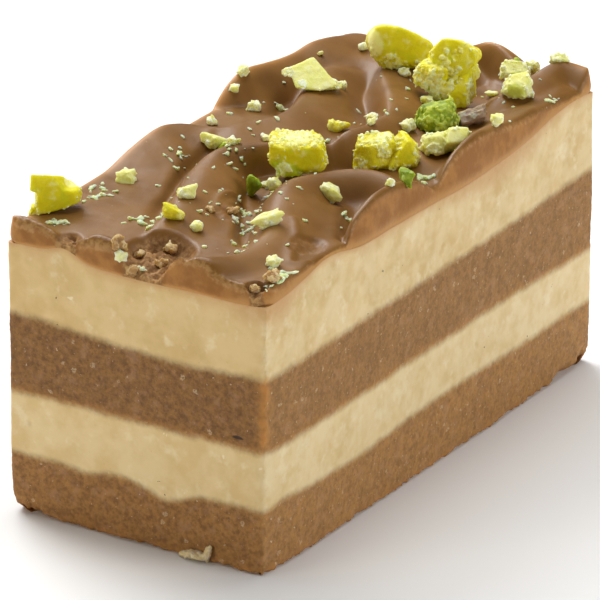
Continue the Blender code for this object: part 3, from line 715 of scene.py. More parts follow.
@dataclass(frozen=True)
class Boundary:
    """The surface between two layers: a level and the swells in it."""

    level: float
    swells: tuple[Swell, ...] = ()

    def at(self, x: Array, y: Array) -> Array:
        """Its height."""
        return self.level + sum(swell.at(x, y) for swell in self.swells)


@dataclass(frozen=True)
class Fold:
    """A fold that the spatula left, or a groove.

    Its course holds, for each place along it, X, Y, the crest's height, and how far the fold reaches on
    its left and on its right. A groove's heights are its depths, and its foot is 0.
    """

    course: tuple[tuple[float, float, float, float, float], ...]
    foot: float = 29.2
    steps: int = 8
    blur: float = 0.4

    def at(self, x: Array, y: Array) -> Array:
        """The fold's own height.

        Args:
            x, y: The places.

        Returns:
            The height there.
        """
        samples = smooth_path(self.course, self.steps)
        spans = list(zip(samples, samples[1:]))
        offsets = [offset_from(x, y, start, end) for start, end in spans]
        near = np.minimum.reduce([distance for distance, _, _ in offsets])
        total = np.zeros(x.shape)
        crest, reach = np.zeros(x.shape), np.zeros(x.shape)
        for (start, end), (distance, lean, part) in zip(spans, offsets):
            weight = np.exp((near - distance) / self.blur)
            height, left, right = (start[row] + part * (end[row] - start[row]) for row in (2, 3, 4))
            total += weight
            crest += weight * height
            reach += weight * (right + (left - right) * (0.5 + 0.5 * lean))
        return self.foot + (crest / total - self.foot) * bell(near * total, reach)


def offset_from(x: Array, y: Array, start: Array, end: Array) -> tuple[Array, Array, Array]:
    """How places lie to a straight stretch.

    Args:
        x, y: The places.
        start: The stretch's first point.
        end: Its last point.

    Returns:
        The distance to it, from -1 to 1 how far the place is on its right or its left, and the part of
        the stretch that is nearest.
    """
    run_x, run_y = end[0] - start[0], end[1] - start[1]
    length = math.hypot(run_x, run_y)
    part = np.clip(((x - start[0]) * run_x + (y - start[1]) * run_y) / length**2, 0.0, 1.0)
    off_x = x - start[0] - part * run_x
    off_y = y - start[1] - part * run_y
    distance = np.hypot(off_x, off_y)
    lean = (run_x * off_y - run_y * off_x) / (length * np.maximum(distance, TINY))
    return distance, lean, part


def smooth_path(points: Sequence[Sequence[float]], steps: int) -> Array:
    """A Catmull-Rom curve.

    Args:
        points: The rows that it goes through.
        steps: How many rows each span becomes.

    Returns:
        The curve's rows.
    """
    ends = np.array((points[0], *points, points[-1]), float)
    samples = []
    for before, start, end, after in zip(ends, ends[1:], ends[2:], ends[3:]):
        for t in np.arange(steps) / steps:
            slope = end - before
            bend = 2.0 * before - 5.0 * start + 4.0 * end - after
            twist = 3.0 * start - before - 3.0 * end + after
            samples.append(start + 0.5 * t * (slope + t * (bend + t * twist)))
    return np.array([*samples, ends[-1]])


def soft_max(first: Array, second: Array, width: float) -> Array:
    """The larger of the two, with the crease between them rounded over width."""
    overlap = np.maximum(1.0 - np.abs(first - second) / width, 0.0)
    return np.maximum(first, second) + 0.25 * width * overlap**2


def mesh_from(name: str, points: Array, faces: Iterable[Array]) -> bpy.types.Mesh:
    """Makes a mesh from arrays.

    Args:
        name: Its name.
        points: Its points.
        faces: Arrays of point numbers, one row for each face.

    Returns:
        The mesh, shaded smooth.
    """
    mesh = bpy.data.meshes.new(name)
    corners = np.concatenate([rows.ravel() for rows in faces])
    sizes = np.concatenate([np.full(len(rows), rows.shape[1]) for rows in faces])
    mesh.vertices.add(len(points))
    mesh.vertices.foreach_set("co", points.astype(np.float32).ravel())
    mesh.loops.add(len(corners))
    mesh.loops.foreach_set("vertex_index", corners.astype(np.int32))
    mesh.polygons.add(len(sizes))
    mesh.polygons.foreach_set("loop_start", (np.cumsum(sizes) - sizes).astype(np.int32))
    mesh.update(calc_edges=True)
    mesh.validate()
    mesh.shade_smooth()
    return mesh


def place_mesh(name: str, mesh: bpy.types.Mesh) -> Piece:
    """Puts a mesh in the scene.

    Args:
        name: The object's name.
        mesh: Its mesh.

    Returns:
        The object.
    """
    made = bpy.data.objects.new(name, mesh)
    bpy.context.scene.collection.objects.link(made)
    return made


def make_piece(
    name: str, points: Array, faces: Iterable[Array], marks: Mapping[str, Array]
) -> Piece:
    """Makes an object from arrays.

    Args:
        name: Its name.
        points: Its points.
        faces: Arrays of point numbers, one row for each face.
        marks: Numbers to store on the points, by name.

    Returns:
        The object, shaded smooth.
    """
    mesh = mesh_from(name, points * MM, faces)
    for mark, values in marks.items():
        layer = mesh.attributes.new(mark, "FLOAT", "POINT")
        layer.data.foreach_set("value", values.astype(np.float32))
    return place_mesh(name, mesh)


def dress(
    piece: Piece, material: Material, slot: str, *nodes: str
) -> Piece:
    """Gives a piece its material, hangs it on the body and hides the CAD nodes that it stands for.

    Args:
        piece: The piece.
        material: Its material.
        slot: Its slot, or an empty string if it has none; not used.
        nodes: The CAD nodes that it stands for.

    Returns:
        The piece.
    """
    piece.data.materials.append(material)
    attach(piece, BODY)
    if nodes:
        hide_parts(*nodes)
    log.info("%s: %d points", piece.name, len(piece.data.vertices))
    return piece


# -------- The block --------


@dataclass
class Footprint:
    """The slice seen from above: a rectangle with its corners a little rounded, as a grid."""

    width: float
    length: float
    corner: float = 0.4
    cell: float = 0.2

    def __post_init__(self) -> None:
        """Lays out the grid and its rim."""
        across = np.linspace(-0.5, 0.5, round(self.width / self.cell) + 1) * self.width
        along = np.linspace(-0.5, 0.5, round(self.length / self.cell) + 1) * self.length
        grid_x, grid_y = np.meshgrid(across, along)
        past_x = np.maximum(np.abs(grid_x) - (self.width / 2 - self.corner), 0.0)
        past_y = np.maximum(np.abs(grid_y) - (self.length / 2 - self.corner), 0.0)
        reach = np.hypot(past_x, past_y)
        shrink = np.where(reach > 0.0, 1.0 - np.maximum(past_x, past_y) / np.maximum(reach, 1e-9), 0.0)
        self.x = grid_x - np.sign(grid_x) * past_x * shrink
        self.y = grid_y - np.sign(grid_y) * past_y * shrink
        numbers = np.arange(grid_x.size).reshape(grid_x.shape)
        corners = [numbers[:-1, :-1], numbers[:-1, 1:], numbers[1:, 1:], numbers[1:, :-1]]
        self.cells = np.stack(corners, axis=-1).reshape(-1, 4)
        sides = [numbers[0, :-1], numbers[:-1, -1], numbers[-1, :0:-1], numbers[:0:-1, 0]]
        self.rim = np.concatenate(sides)
        self.rim_x = self.x.ravel()[self.rim]
        self.rim_y = self.y.ravel()[self.rim]
        ahead_x = np.roll(self.rim_x, -1) - np.roll(self.rim_x, 1)
        ahead_y = np.roll(self.rim_y, -1) - np.roll(self.rim_y, 1)
        size = np.hypot(ahead_x, ahead_y)
        self.out_x = ahead_y / size
        self.out_y = -ahead_x / size

    def from_front(self, y: Array) -> Array:
        """How far places are behind the front face."""
        return y + self.length / 2

    def from_right(self, x: Array) -> Array:
        """How far places are inside the right face."""
        return self.width / 2 - x


def wall_faces(rows: int, count: int, first: int = 0) -> Array:
    """The faces of a wall of rings, going up, that looks outwards.

    Args:
        rows: How many rings there are.
        count: How many points each has.
        first: The number of the first point.

    Returns:
        The faces' point numbers.
    """
    ring = np.arange(count)
    start = first + count * np.arange(rows - 1)[:, None]
    here, onward = start + ring, start + np.roll(ring, -1)
    return np.stack([here, onward, onward + count, here + count], axis=-1).reshape(-1, 4)


def band_faces(outer: Array, inner: Array, looks_up: bool) -> Array:
    """The faces between a ring and the ring inside it."""
    band = np.stack([outer, np.roll(outer, -1), np.roll(inner, -1), inner], axis=-1)
    return band if looks_up else band[:, ::-1]


def fan_faces(ring: Array, middle: int, looks_up: bool) -> Array:
    """The triangles from a ring to the point in its middle.

    Args:
        ring: The ring's point numbers.
        middle: The number of the point in the middle.
        looks_up: Whether they look up or down.

    Returns:
        The triangles' point numbers.
    """
    onward = np.roll(ring, -1)
    pair = (ring, onward) if looks_up else (onward, ring)
    return np.stack([*pair, np.full(len(ring), middle)], axis=-1)


def hub(surface: Ground) -> Array:
    """The point of a surface over the slice's middle."""
    zero = np.zeros(1)
    return np.array([[0.0, 0.0, float(surface(zero, zero)[0])]])


@dataclass(frozen=True)
class Pit:
    """A small hole in a cut face, painted near-black as its shade, an oval on the outside at x, y and z."""

    x: float
    y: float
    z: float
    wide: float
    tall: float

    def at(self, x: Array, y: Array, z: Array) -> Array:
        """How much a place is in it, from 0 to 1."""
        across = np.hypot(x - self.x, y - self.y) / self.wide
        return np.exp(-(across**2) - ((z - self.z) / self.tall) ** 2)


@dataclass(frozen=True)
class SmearedFlap:
    """A flap of nougat that was smeared over the foot of the front face, an oval at x and z."""

    x: float = -0.5
    z: float = 1.25
    half_width: float = 4.4
    half_height: float = 0.95
    rise: float = 0.14
    edge_from: float = 0.82
    wander: float = 0.1
    wander_size: float = 1.6
    front_fade: Pair = (0.1, 0.6)

    def rise_at(self, place: Array, behind: Array, noise: Grain) -> Array:
        """How far it stands out.

        Args:
            place: The places, one row each.
            behind: How far they are behind the front face.
            noise: The noise that bends its edge.

        Returns:
            Its rise there.
        """
        across = np.hypot((place[:, 0] - self.x) / self.half_width, (place[:, 2] - self.z) / self.half_height)
        on_front = 1.0 - ease(*self.front_fade, behind)
        bent = across + self.wander * noise.at(place, self.wander_size)
        return self.rise * on_front * (1.0 - ease(self.edge_from, 1.0, bent))


@dataclass
class CutFaces:
    """The four faces that the knife left, and the layers that show in them."""

    footprint: Footprint
    base_top: Boundary
    lower_cream_top: Boundary
    middle_top: Boundary
    upper_cream_top: Boundary
    top_level: float
    pits: tuple[Pit, ...] = ()
    flap: SmearedFlap = SmearedFlap()
    pit_depth: float = 0.25
    wander: float = 0.07
    wave_along: float = 9.0
    wave_up: float = 6.0
    wave_starts: Pair = (0.4, 1.9)
    sway: Waves = Waves(0.1, 7.0, 2)
    grain: Waves = Waves(1.0, 0.9, 3, 0.75)
    brown_grain: float = 0.045
    cream_grain: float = 0.018
    seam_blend: float = 0.4
    foot_radius: float = 0.6
    foot_round: float = 0.96
    foot_wander: Waves = Waves(0.6, 2.2, 4)
    foot_crumble: Waves = Waves(0.35, 0.6, 3, 0.7)
    crumble_shift: float = 5.0
    far_foot: float = 1.6
    far_place: float = 32.0
    far_reach: float = 4.0
    far_slant: float = 0.55
    ridge: float = 0.22
    ridge_reach: float = 0.9
    ridge_least: float = 0.6
    ridge_wander: Waves = Waves(1.0, 1.5, 4, 0.65)
    corner_lean: float = 0.5
    corner_reach: float = 4.0
    noise: Grain = field(default_factory=lambda: Grain(11))

    def cream_side(self, x: Array, y: Array, z: Array) -> Array:
        """How far a place is inside a cream layer, or under 0 how far outside one."""
        lower = np.minimum(z - self.base_top.at(x, y), self.lower_cream_top.at(x, y) - z)
        return np.maximum(lower, z - self.middle_top.at(x, y))

    def pit(self, x: Array, y: Array, z: Array) -> Array:
        """How much a place is in a dark pit."""
        return np.maximum.reduce([np.zeros_like(x), *(pit.at(x, y, z) for pit in self.pits)])

    def waves(self, x: Array, y: Array, out_x: Array, out_y: Array, z: Array) -> Array:
        """How far the blade's slow waver sets the face in.

        Args:
            x, y, z: Places on the rim.
            out_x, out_y: The way out of the face there.

        Returns:
            The inset.
        """
        start_x, start_y = self.wave_starts
        wave_x = np.sin(y / self.wave_along + start_x) * np.cos(z / self.wave_up + start_x)
        wave_y = np.sin(x / self.wave_along + start_y) * np.cos(z / self.wave_up + start_y)
        return self.wander * (1.0 - out_x**2 * wave_x - out_y**2 * wave_y)

    def roughness(self, x: Array, y: Array, z: Array) -> Array:
        """How far the face's grain stands out, which is coarser in the brown.

        Args:
            x, y, z: Places on the rim.

        Returns:
            The rise.
        """
        place = triples(x, y, z)
        in_cream = ease(-self.seam_blend, self.seam_blend, self.cream_side(x, y, z))
        rough = self.brown_grain + (self.cream_grain - self.brown_grain) * in_cream
        return rough * self.noise.layered(place, self.grain) + self.noise.layered(place, self.sway)

    def worn_foot(self, x: Array, y: Array, z: Array) -> Array:
        """How far the rounded, crumbly lower edge is set in, most of it at the two far corners.

        Args:
            x, y, z: Places on the rim.

        Returns:
            The inset.
        """
        place = triples(x, y, z)
        far = bell(np.abs(x + y * self.far_slant) - self.far_place, self.far_reach)
        uneven = 1.0 + self.noise.layered(place * (1, 1, 0), self.foot_wander)
        foot = (self.foot_radius + self.far_foot * far) * uneven
        low = np.clip(1.0 - z / foot, 0.0, 1.0)
        crumble = self.noise.layered(place + self.crumble_shift, self.foot_crumble)
        return foot * (1.0 - np.sqrt(1.0 - low**2 * self.foot_round)) + low * crumble

    def cut(self, x: Array, y: Array, out_x: Array, out_y: Array, z: Array) -> Array:
        """Where the knife left the face.

        Args:
            x, y, z: Places on the rim.
            out_x, out_y: The way out of the face there.

        Returns:
            The points of the face.
        """
        plan = self.footprint
        place = triples(x, y, z)
        inset = self.waves(x, y, out_x, out_y, z) - self.roughness(x, y, z)
        inset += self.worn_foot(x, y, z) - self.flap.rise_at(place, plan.from_front(y), self.noise)
        inset += self.pit_depth * self.pit(x, y, z)
        from_corner = np.hypot(plan.from_right(x), plan.from_front(y))
        uneven = self.ridge_least + self.noise.layered(place, self.ridge_wander)
        inset += self.ridge * bell(from_corner, self.ridge_reach) * uneven
        lean = self.corner_lean * bell(from_corner, self.corner_reach) * (1.0 - z / self.top_level)
        return triples(x - out_x * inset - lean, y - out_y * inset, z)


@dataclass(frozen=True)
class Smear:
    """A stretch of the right face where chocolate was dragged further down, and more of it."""

    y: float
    reach: float
    width: float
    strength: float


@dataclass(frozen=True)
class CutShades:
    """How the cut faces' colour varies from place to place, painted highlight and painted glow included."""

    faces: CutFaces
    smear_width: float = 1.3
    least_width: float = 0.4
    smear_wander: Waves = Waves(0.8, 5.0, 3)
    smear_strength: float = 0.55
    smear_from_x: Pair = (10.0, 13.0)
    smears: tuple[Smear, ...] = (Smear(13.0, 8.0, 2.2, 0.3), Smear(-29.0, 3.5, 2.4, 0.3))
    seam_from: float = -0.15
    seam_width: float = 0.75
    seam_wander: Waves = Waves(0.3, 1.4, 3)
    # Painted glow at the foot and up the nearest edge: its strength, wander and reach.
    foot_glow: float = 0.55
    foot_wander: Waves = Waves(0.6, 0.9, 3)
    foot_height: float = 0.55
    edge_glow: float = 0.95
    edge_slant: float = 1.1
    edge_place: float = 0.5
    edge_wander: Waves = Waves(0.5, 2.4, 3)
    edge_reach: float = 0.65
    edge_heights: Pair = (11.5, 14.0)
    cream_seam_warmth: float = 0.3
    cream_seam_place: float = 0.35
    cream_seam_reach: float = 0.45
    # Painted highlight on the right face and its nearest upright edge: how far it reaches and how strong it
    # is.
    light_reach: float = 0.8
    light_place: float = 0.3
    side_light: float = 0.45
    edge_light: float = 0.5

    def smear(self, x: Array, y: Array, z: Array) -> Array:
        """How much chocolate the knife dragged down over the cream.

        Args:
            x, y, z: The places.

        Returns:
            The part of it, from 0 to 1.
        """
        below = self.faces.upper_cream_top.at(x, y) - z
        place = triples(x, y, np.zeros_like(x))
        noise = self.faces.noise
        width = self.smear_width + noise.layered(place, self.smear_wander)
        strength = self.smear_strength
        for smear in self.smears:
            here = bell(y - smear.y, smear.reach) * ease(*self.smear_from_x, x)
            width = width + smear.width * here
            strength = strength + smear.strength * here
        seam = self.seam_width + noise.layered(place, self.seam_wander)
        near = 1.0 - ease(self.seam_from, seam, below)
        faded = 1.0 - ease(0.0, 1.0, below / np.maximum(width, self.least_width))
        return np.maximum(near, strength * faded)

    def warm(self, x: Array, y: Array, z: Array) -> Array:
        """Painted glow at the brown's crumbly foot and nearest edge, and real caramel over the lower cream.

        Args:
            x, y, z: The places.

        Returns:
            The warmth, from 0 to 1.
        """
        plan, noise = self.faces.footprint, self.faces.noise
        place = triples(x, y, z)
        foot = (self.foot_glow + noise.layered(place, self.foot_wander)) * bell(z, self.foot_height)
        along = plan.from_right(x) + self.edge_slant * plan.from_front(y) - self.edge_place
        from_edge = along - noise.layered(place * (0, 0, 1), self.edge_wander)
        edge = self.edge_glow * bell(from_edge, self.edge_reach) * ease(*self.edge_heights, z)
        over_cream = z - self.faces.lower_cream_top.at(x, y) - self.cream_seam_place
        seam = self.cream_seam_warmth * bell(over_cream, self.cream_seam_reach)
        return np.maximum(np.maximum(foot, edge), seam)

    # Painted highlight mask for the right face.
    def bright(self, x: Array, y: Array) -> Array:
        """How much light a place on the right face catches, most of it at the nearest upright edge.

        Args:
            x, y: The places.

        Returns:
            The light, from 0 to 1.
        """
        plan = self.faces.footprint
        edge = bell(plan.from_front(y) - self.light_place, self.light_reach)
        return bell(plan.from_right(x), self.light_reach) * (self.side_light + self.edge_light * edge)

    def marks(self, points: Array) -> dict[str, Array]:
        """All that the nougat's finish reads from the points.

        Args:
            points: The points, one row each.

        Returns:
            The numbers to store on them, by name.
        """
        x, y, z = points.T
        return {
            "bright": self.bright(x, y),
            "pit": self.faces.pit(x, y, z),
            "cream_side": self.faces.cream_side(x, y, z),
            "smear": self.smear(x, y, z),
            "warm": self.warm(x, y, z),
        }


@dataclass
class NougatLayer:
    """One layer of the block, between two surfaces."""

    name: str
    slot: str
    faces: CutFaces
    lower: Ground
    upper: Ground
    row_height: float = 0.2
    cap_rings: tuple[float, ...] = (0.9, 0.6)

    def build(self, material: Material) -> Piece:
        """Makes the layer's walls and its caps, which the layers beside it hide.

        Args:
            material: Its material.

        Returns:
            The layer.
        """
        plan = self.faces.footprint
        x, y, out_x, out_y = plan.rim_x, plan.rim_y, plan.out_x, plan.out_y
        low, high = self.lower(x, y), self.upper(x, y)
        rows = max(2, round(float((high - low).mean()) / self.row_height) + 1)
        levels = [low + part * (high - low) for part in np.linspace(0.0, 1.0, rows)]
        rings = [self.faces.cut(x, y, out_x, out_y, level) for level in levels]
        parts = [np.concatenate(rings)]
        faces = [wall_faces(rows, len(x))]
        edge = np.arange(len(x))
        self.add_cap(parts, faces, rings[-1], (rows - 1) * len(x) + edge, True)
        self.add_cap(parts, faces, rings[0], edge, False)
        points = np.concatenate(parts)
        piece = make_piece(self.name + "_shape", points, faces, CutShades(self.faces).marks(points))
        piece.data.set_sharp_from_angle(angle=SHARP)
        return dress(piece, material, self.slot, self.name)

    def add_cap(
        self, parts: list[Array], faces: list[Array], ring: Array, edge: Array, looks_up: bool
    ) -> None:
        """Closes the layer's top or bottom with smaller and smaller rings.

        Args:
            parts: The layer's points so far, to which the cap's are added.
            faces: Its faces so far, likewise.
            ring: The points of the cap's edge.
            edge: Their numbers.
            looks_up: Whether it is the top.
        """
        surface = self.upper if looks_up else self.lower
        for scale in self.cap_rings:
            inner = sum(len(part) for part in parts) + np.arange(len(ring))
            x, y = ring[:, 0] * scale, ring[:, 1] * scale
            parts.append(triples(x, y, surface(x, y)))
            faces.append(band_faces(edge, inner, looks_up))
            edge = inner
        faces.append(fan_faces(edge, sum(len(part) for part in parts), looks_up))
        parts.append(hub(surface))


@dataclass(frozen=True)
class Tear:
    """A place where the chocolate is torn open: how deep it is and how rough."""

    x: float
    y: float
    reach_x: float
    reach_y: float
    depth: float
    rough: float
    edge: Pair = (0.7, 1.05)

    def inside(self, x: Array, y: Array) -> Array:
        """1 in the tear, 0 away from it."""
        across = np.hypot((x - self.x) / self.reach_x, (y - self.y) / self.reach_y)
        return 1.0 - ease(*self.edge, across)


@dataclass
class Topping:
    """The swirled milk chocolate on top of the block."""

    faces: CutFaces
    plan: Footprint
    level: float
    swells: tuple[Swell, ...]
    folds: tuple[Fold, ...]
    grooves: tuple[Fold, ...]
    flaps: tuple[Fold, ...]
    tears: tuple[Tear, ...]
    name: str = "chocolate_topping"
    slot: str = "milk_chocolate"
    crease: float = 0.3
    ripple: Waves = Waves(0.05, 3.5, 3)
    torn_grain: Waves = Waves(1.0, 1.4, 4, 0.6)
    torn_full: float = 0.45
    front_grain: Waves = Waves(0.2, 0.9, 3, 0.7)
    front_reach: float = 0.7
    edge_drop: float = 0.5
    edge_reach: float = 0.75
    thinnest: float = 0.3
    bulge: float = 0.28
    bulge_least: float = 0.4
    bulge_more: float = 0.9
    bulge_thick: Pair = (1.0, 3.5)
    bulge_low: float = 0.55
    wall_rows: int = 16
    rim_cut: float = 0.7
    melt_reach: float = 0.4
    melt_wander: Waves = Waves(0.25, 4.0, 3)
    melt_right: float = 0.8
    melt_from_x: Pair = (10.0, 13.0)
    least_melt: float = 0.15
    rim_reach: float = 0.5
    rim_drop: float = 0.45
    rim_right: float = 0.2
    # Painted backlight glow: its strength and reach from the back and left edges.
    backlight_strength: float = 0.85
    backlight_reach: float = 0.75
    noise: Grain = field(default_factory=lambda: Grain(23))

    def torn(self, x: Array, y: Array) -> Array:
        """How torn a place is, from 0 to 1."""
        parts = [tear.inside(x, y) * min((tear.rough / self.torn_full) ** 2, 1.0) for tear in self.tears]
        return np.maximum.reduce(parts)

    def swirls(self, x: Array, y: Array) -> Array:
        """The height that the spatula left.

        Args:
            x, y: The places.

        Returns:
            The height there.
        """
        height = np.full(x.shape, self.level)
        for swell in self.swells:
            height += swell.at(x, y)
        for fold in self.folds:
            height = soft_max(height, fold.at(x, y), self.crease)
        for groove in self.grooves:
            height -= groove.at(x, y)
        for flap in self.flaps:
            height += flap.at(x, y)
        return height

    def height(self, x: Array, y: Array) -> Array:
        """The height of the top.

        Args:
            x, y: The places.

        Returns:
            The height there.
        """
        place = triples(x, y, np.zeros_like(x))
        height = self.swirls(x, y) + self.noise.layered(place, self.ripple)
        torn_grain = self.noise.layered(place, self.torn_grain)
        for tear in self.tears:
            height += tear.inside(x, y) * (tear.rough * torn_grain - tear.depth)
        at_front = bell(self.plan.from_front(y), self.front_reach)
        height += at_front * self.noise.layered(place, self.front_grain)
        inset = np.minimum(self.plan.width / 2 - np.abs(x), self.plan.length / 2 - np.abs(y))
        part = np.clip(1.0 - inset / self.edge_reach, 0.0, 1.0)
        height -= self.edge_drop * (1.0 - np.sqrt(1.0 - part**2))
        return np.maximum(height, self.faces.upper_cream_top.at(x, y) + self.thinnest)

    def wall(self, low: Array, high: Array) -> list[Array]:
        """The walls that bulge over the cream.

        Args:
            low: The heights of their foot round the rim.
            high: The heights of their top.

        Returns:
            The points of each ring, going up, without the topmost.
        """
        plan = self.plan
        thick = ease(*self.bulge_thick, high - low)
        rings = []
        for part in np.linspace(0.0, 1.0, self.wall_rows)[:-1]:
            ring = self.faces.cut(plan.rim_x, plan.rim_y, plan.out_x, plan.out_y, low + part * (high - low))
            swell = self.bulge * (self.bulge_least + self.bulge_more * thick)
            swell = swell * math.sin(math.pi * part**self.bulge_low)
            ring[:, 0] += plan.out_x * swell
            ring[:, 1] += plan.out_y * swell
            rings.append(ring)
        return rings

    def build(self, material: Material) -> Piece:
        """Makes the top, its walls, and the hidden underside.

        Args:
            material: Its material.

        Returns:
            The topping.
        """
        plan = self.plan
        top = triples(plan.x.ravel(), plan.y.ravel(), self.height(plan.x.ravel(), plan.y.ravel()))
        low = self.faces.upper_cream_top.at(plan.rim_x, plan.rim_y)
        high = top[plan.rim, 2]
        rings = self.wall(low, high)
        top[plan.rim] = self.faces.cut(plan.rim_x, plan.rim_y, plan.out_x, plan.out_y, high)
        count, first = len(plan.rim), len(top)
        ring = first + np.arange(count)
        points = np.concatenate([top, *rings, hub(self.faces.upper_cream_top.at)])
        faces = [
            plan.cells,
            wall_faces(len(rings), count, first),
            band_faces(ring + (len(rings) - 1) * count, plan.rim, True),
            fan_faces(ring, len(points) - 1, looks_up=False),
        ]
        piece = make_piece(self.name + "_shape", points, faces, self.marks(points, first))
        piece.data.set_sharp_from_angle(angle=SHARP)
        return dress(piece, material, self.slot, self.name)

    def marks(self, points: Array, first: int) -> dict[str, Array]:
        """All that the chocolate's finish reads from the points.

        Args:
            points: The points, one row each.
            first: The number of the walls' first point.

        Returns:
            The numbers to store on them, by name.
        """
        x, y, z = points.T
        on_wall = np.zeros(len(points))
        on_wall[first:] = 1.0
        on_wall[self.plan.rim] = self.rim_cut
        return {
            "torn": self.torn(x, y),
            "thin": self.thin(x, y),
            "cut": on_wall,
            "melt": on_wall * self.melt(x, y, z),
            "rim": self.rim(x, y, z),
        }

    def melt(self, x: Array, y: Array, z: Array) -> Array:
        """How much a wall melts into the cream below it.

        Args:
            x, y, z: The places.

        Returns:
            The part of it, from 0 to 1.
        """
        above = z - self.faces.upper_cream_top.at(x, y)
        wander = self.noise.layered(triples(x, y, np.zeros_like(x)), self.melt_wander)
        reach = self.melt_reach + wander + self.melt_right * ease(*self.melt_from_x, x)
        return bell(np.maximum(above, 0.0), np.maximum(reach, self.least_melt))

    def rim(self, x: Array, y: Array, z: Array) -> Array:
        """How near the crumbly upper edge of the front or the right face a place is.

        Args:
            x, y, z: The places.

        Returns:
            1 on the edge and 0 away from it.
        """
        plan = self.faces.footprint
        inset = np.minimum(plan.from_front(y), plan.from_right(x) + self.rim_right)
        below = np.maximum(self.height(x, y) - z, 0.0)
        return bell(inset, self.rim_reach) * bell(below, self.rim_drop)

    def thin(self, x: Array, y: Array) -> Array:
        """How much painted backlight glow the chocolate gets along its hidden back and left edges, where it
        thins.
        """
        inset = np.minimum(x + self.faces.footprint.width / 2, self.faces.footprint.length / 2 - y)
        return self.backlight_strength * bell(inset, self.backlight_reach)


# -------- The nuts --------


def ball(subdivisions: int) -> tuple[Array, Array]:
    """An icosphere of radius 1.

    Args:
        subdivisions: How fine it is.

    Returns:
        Its points and its triangles.
    """
    shape = bmesh.new()
    bmesh.ops.create_icosphere(shape, subdivisions=subdivisions, radius=1.0)
    points = np.array([vert.co for vert in shape.verts])
    faces = np.array([[vert.index for vert in face.verts] for face in shape.faces])
    shape.free()
    return points, faces


def unit(ways: Any) -> Array:
    """The same ways with a length of 1."""
    rows = np.array(ways, float)
    return rows / np.linalg.norm(rows, axis=-1, keepdims=True)


def turned(points: Array, turn: float, tilt: float = 0.0, roll: float = 0.0) -> Array:
    """Turns points about the origin.

    Args:
        points: The points, one row each.
        turn: The last turn, about Z, in degrees.
        tilt: The turn before it, about Y.
        roll: The first turn, about X.

    Returns:
        The turned points.
    """
    for angle, (first, second) in ((roll, (1, 2)), (tilt, (2, 0)), (turn, (0, 1))):
        c, s = math.cos(math.radians(angle)), math.sin(math.radians(angle))
        moved = points.copy()
        moved[:, first] = c * points[:, first] - s * points[:, second]
        moved[:, second] = s * points[:, first] + c * points[:, second]
        points = moved
    return points


def skin_of(points: Array, faces: Iterable[Array], cell: float) -> tuple[Array, Array]:
    """The outer skin of closed meshes that overlap.

    Args:
        points: Their points.
        faces: Their faces, as arrays of point numbers.
        cell: The size of the skin's faces.

    Returns:
        The skin's points and its four-sided faces.
    """
    source = place_mesh("loose_lumps", mesh_from("loose_lumps", points, faces))
    remesh = source.modifiers.new("skin", "REMESH")
    remesh.mode = "VOXEL"
    remesh.voxel_size = cell
    solid = source.evaluated_get(bpy.context.evaluated_depsgraph_get()).to_mesh()
    skin = np.empty(len(solid.vertices) * 3, np.float32)
    solid.vertices.foreach_get("co", skin)
    quads = np.empty(len(solid.loops), np.int32)
    solid.loops.foreach_get("vertex_index", quads)
    bpy.data.objects.remove(source, do_unlink=True)
    return skin.reshape(-1, 3).astype(float), quads.reshape(-1, 4)


def flat_faced(pull: Array, sharpness: float) -> Array:
    """How far out a chunk's surface is along each way, from how strongly each face bounds that way."""
    return (pull**sharpness).sum(axis=1) ** (-1.0 / sharpness)


@dataclass(frozen=True)
class Lump:
    """A chunk with flat faces.

    Each face holds the way it looks, as right, away and up seen from the front, and how far it is from
    the chunk's middle. The sharper the chunk, the crisper the edges between its faces.
    """

    middle: Triple
    faces: tuple[tuple[float, float, float, float], ...]
    sharpness: float = 22.0

    def pull(self, ways: Array) -> tuple[Array, Array]:
        """What its faces do to each way out from its middle.

        Args:
            ways: The ways, one row each.

        Returns:
            How strongly each face bounds each way, and the ways the faces look.
        """
        table = np.array(self.faces)
        normals = unit(table[:, :3])
        return np.maximum(ways @ normals.T, 0.0) / table[:, 3], normals

    def radius(self, ways: Array) -> Array:
        """How far out its surface is along each way from its middle."""
        return flat_faced(self.pull(ways)[0], self.sharpness)

    def normals(self, ways: Array) -> Array:
        """The way its surface looks there."""
        pull, normals = self.pull(ways)
        return unit((pull**self.sharpness) @ normals)

    def beyond(self, points: Array) -> Array:
        """How far points are outside it.

        Args:
            points: The points, one row each.

        Returns:
            The distance, under 0 inside it.
        """
        off = points - np.array(self.middle)
        reach = np.maximum(np.linalg.norm(off, axis=1), TINY)
        return reach - self.radius(off / reach[:, None])


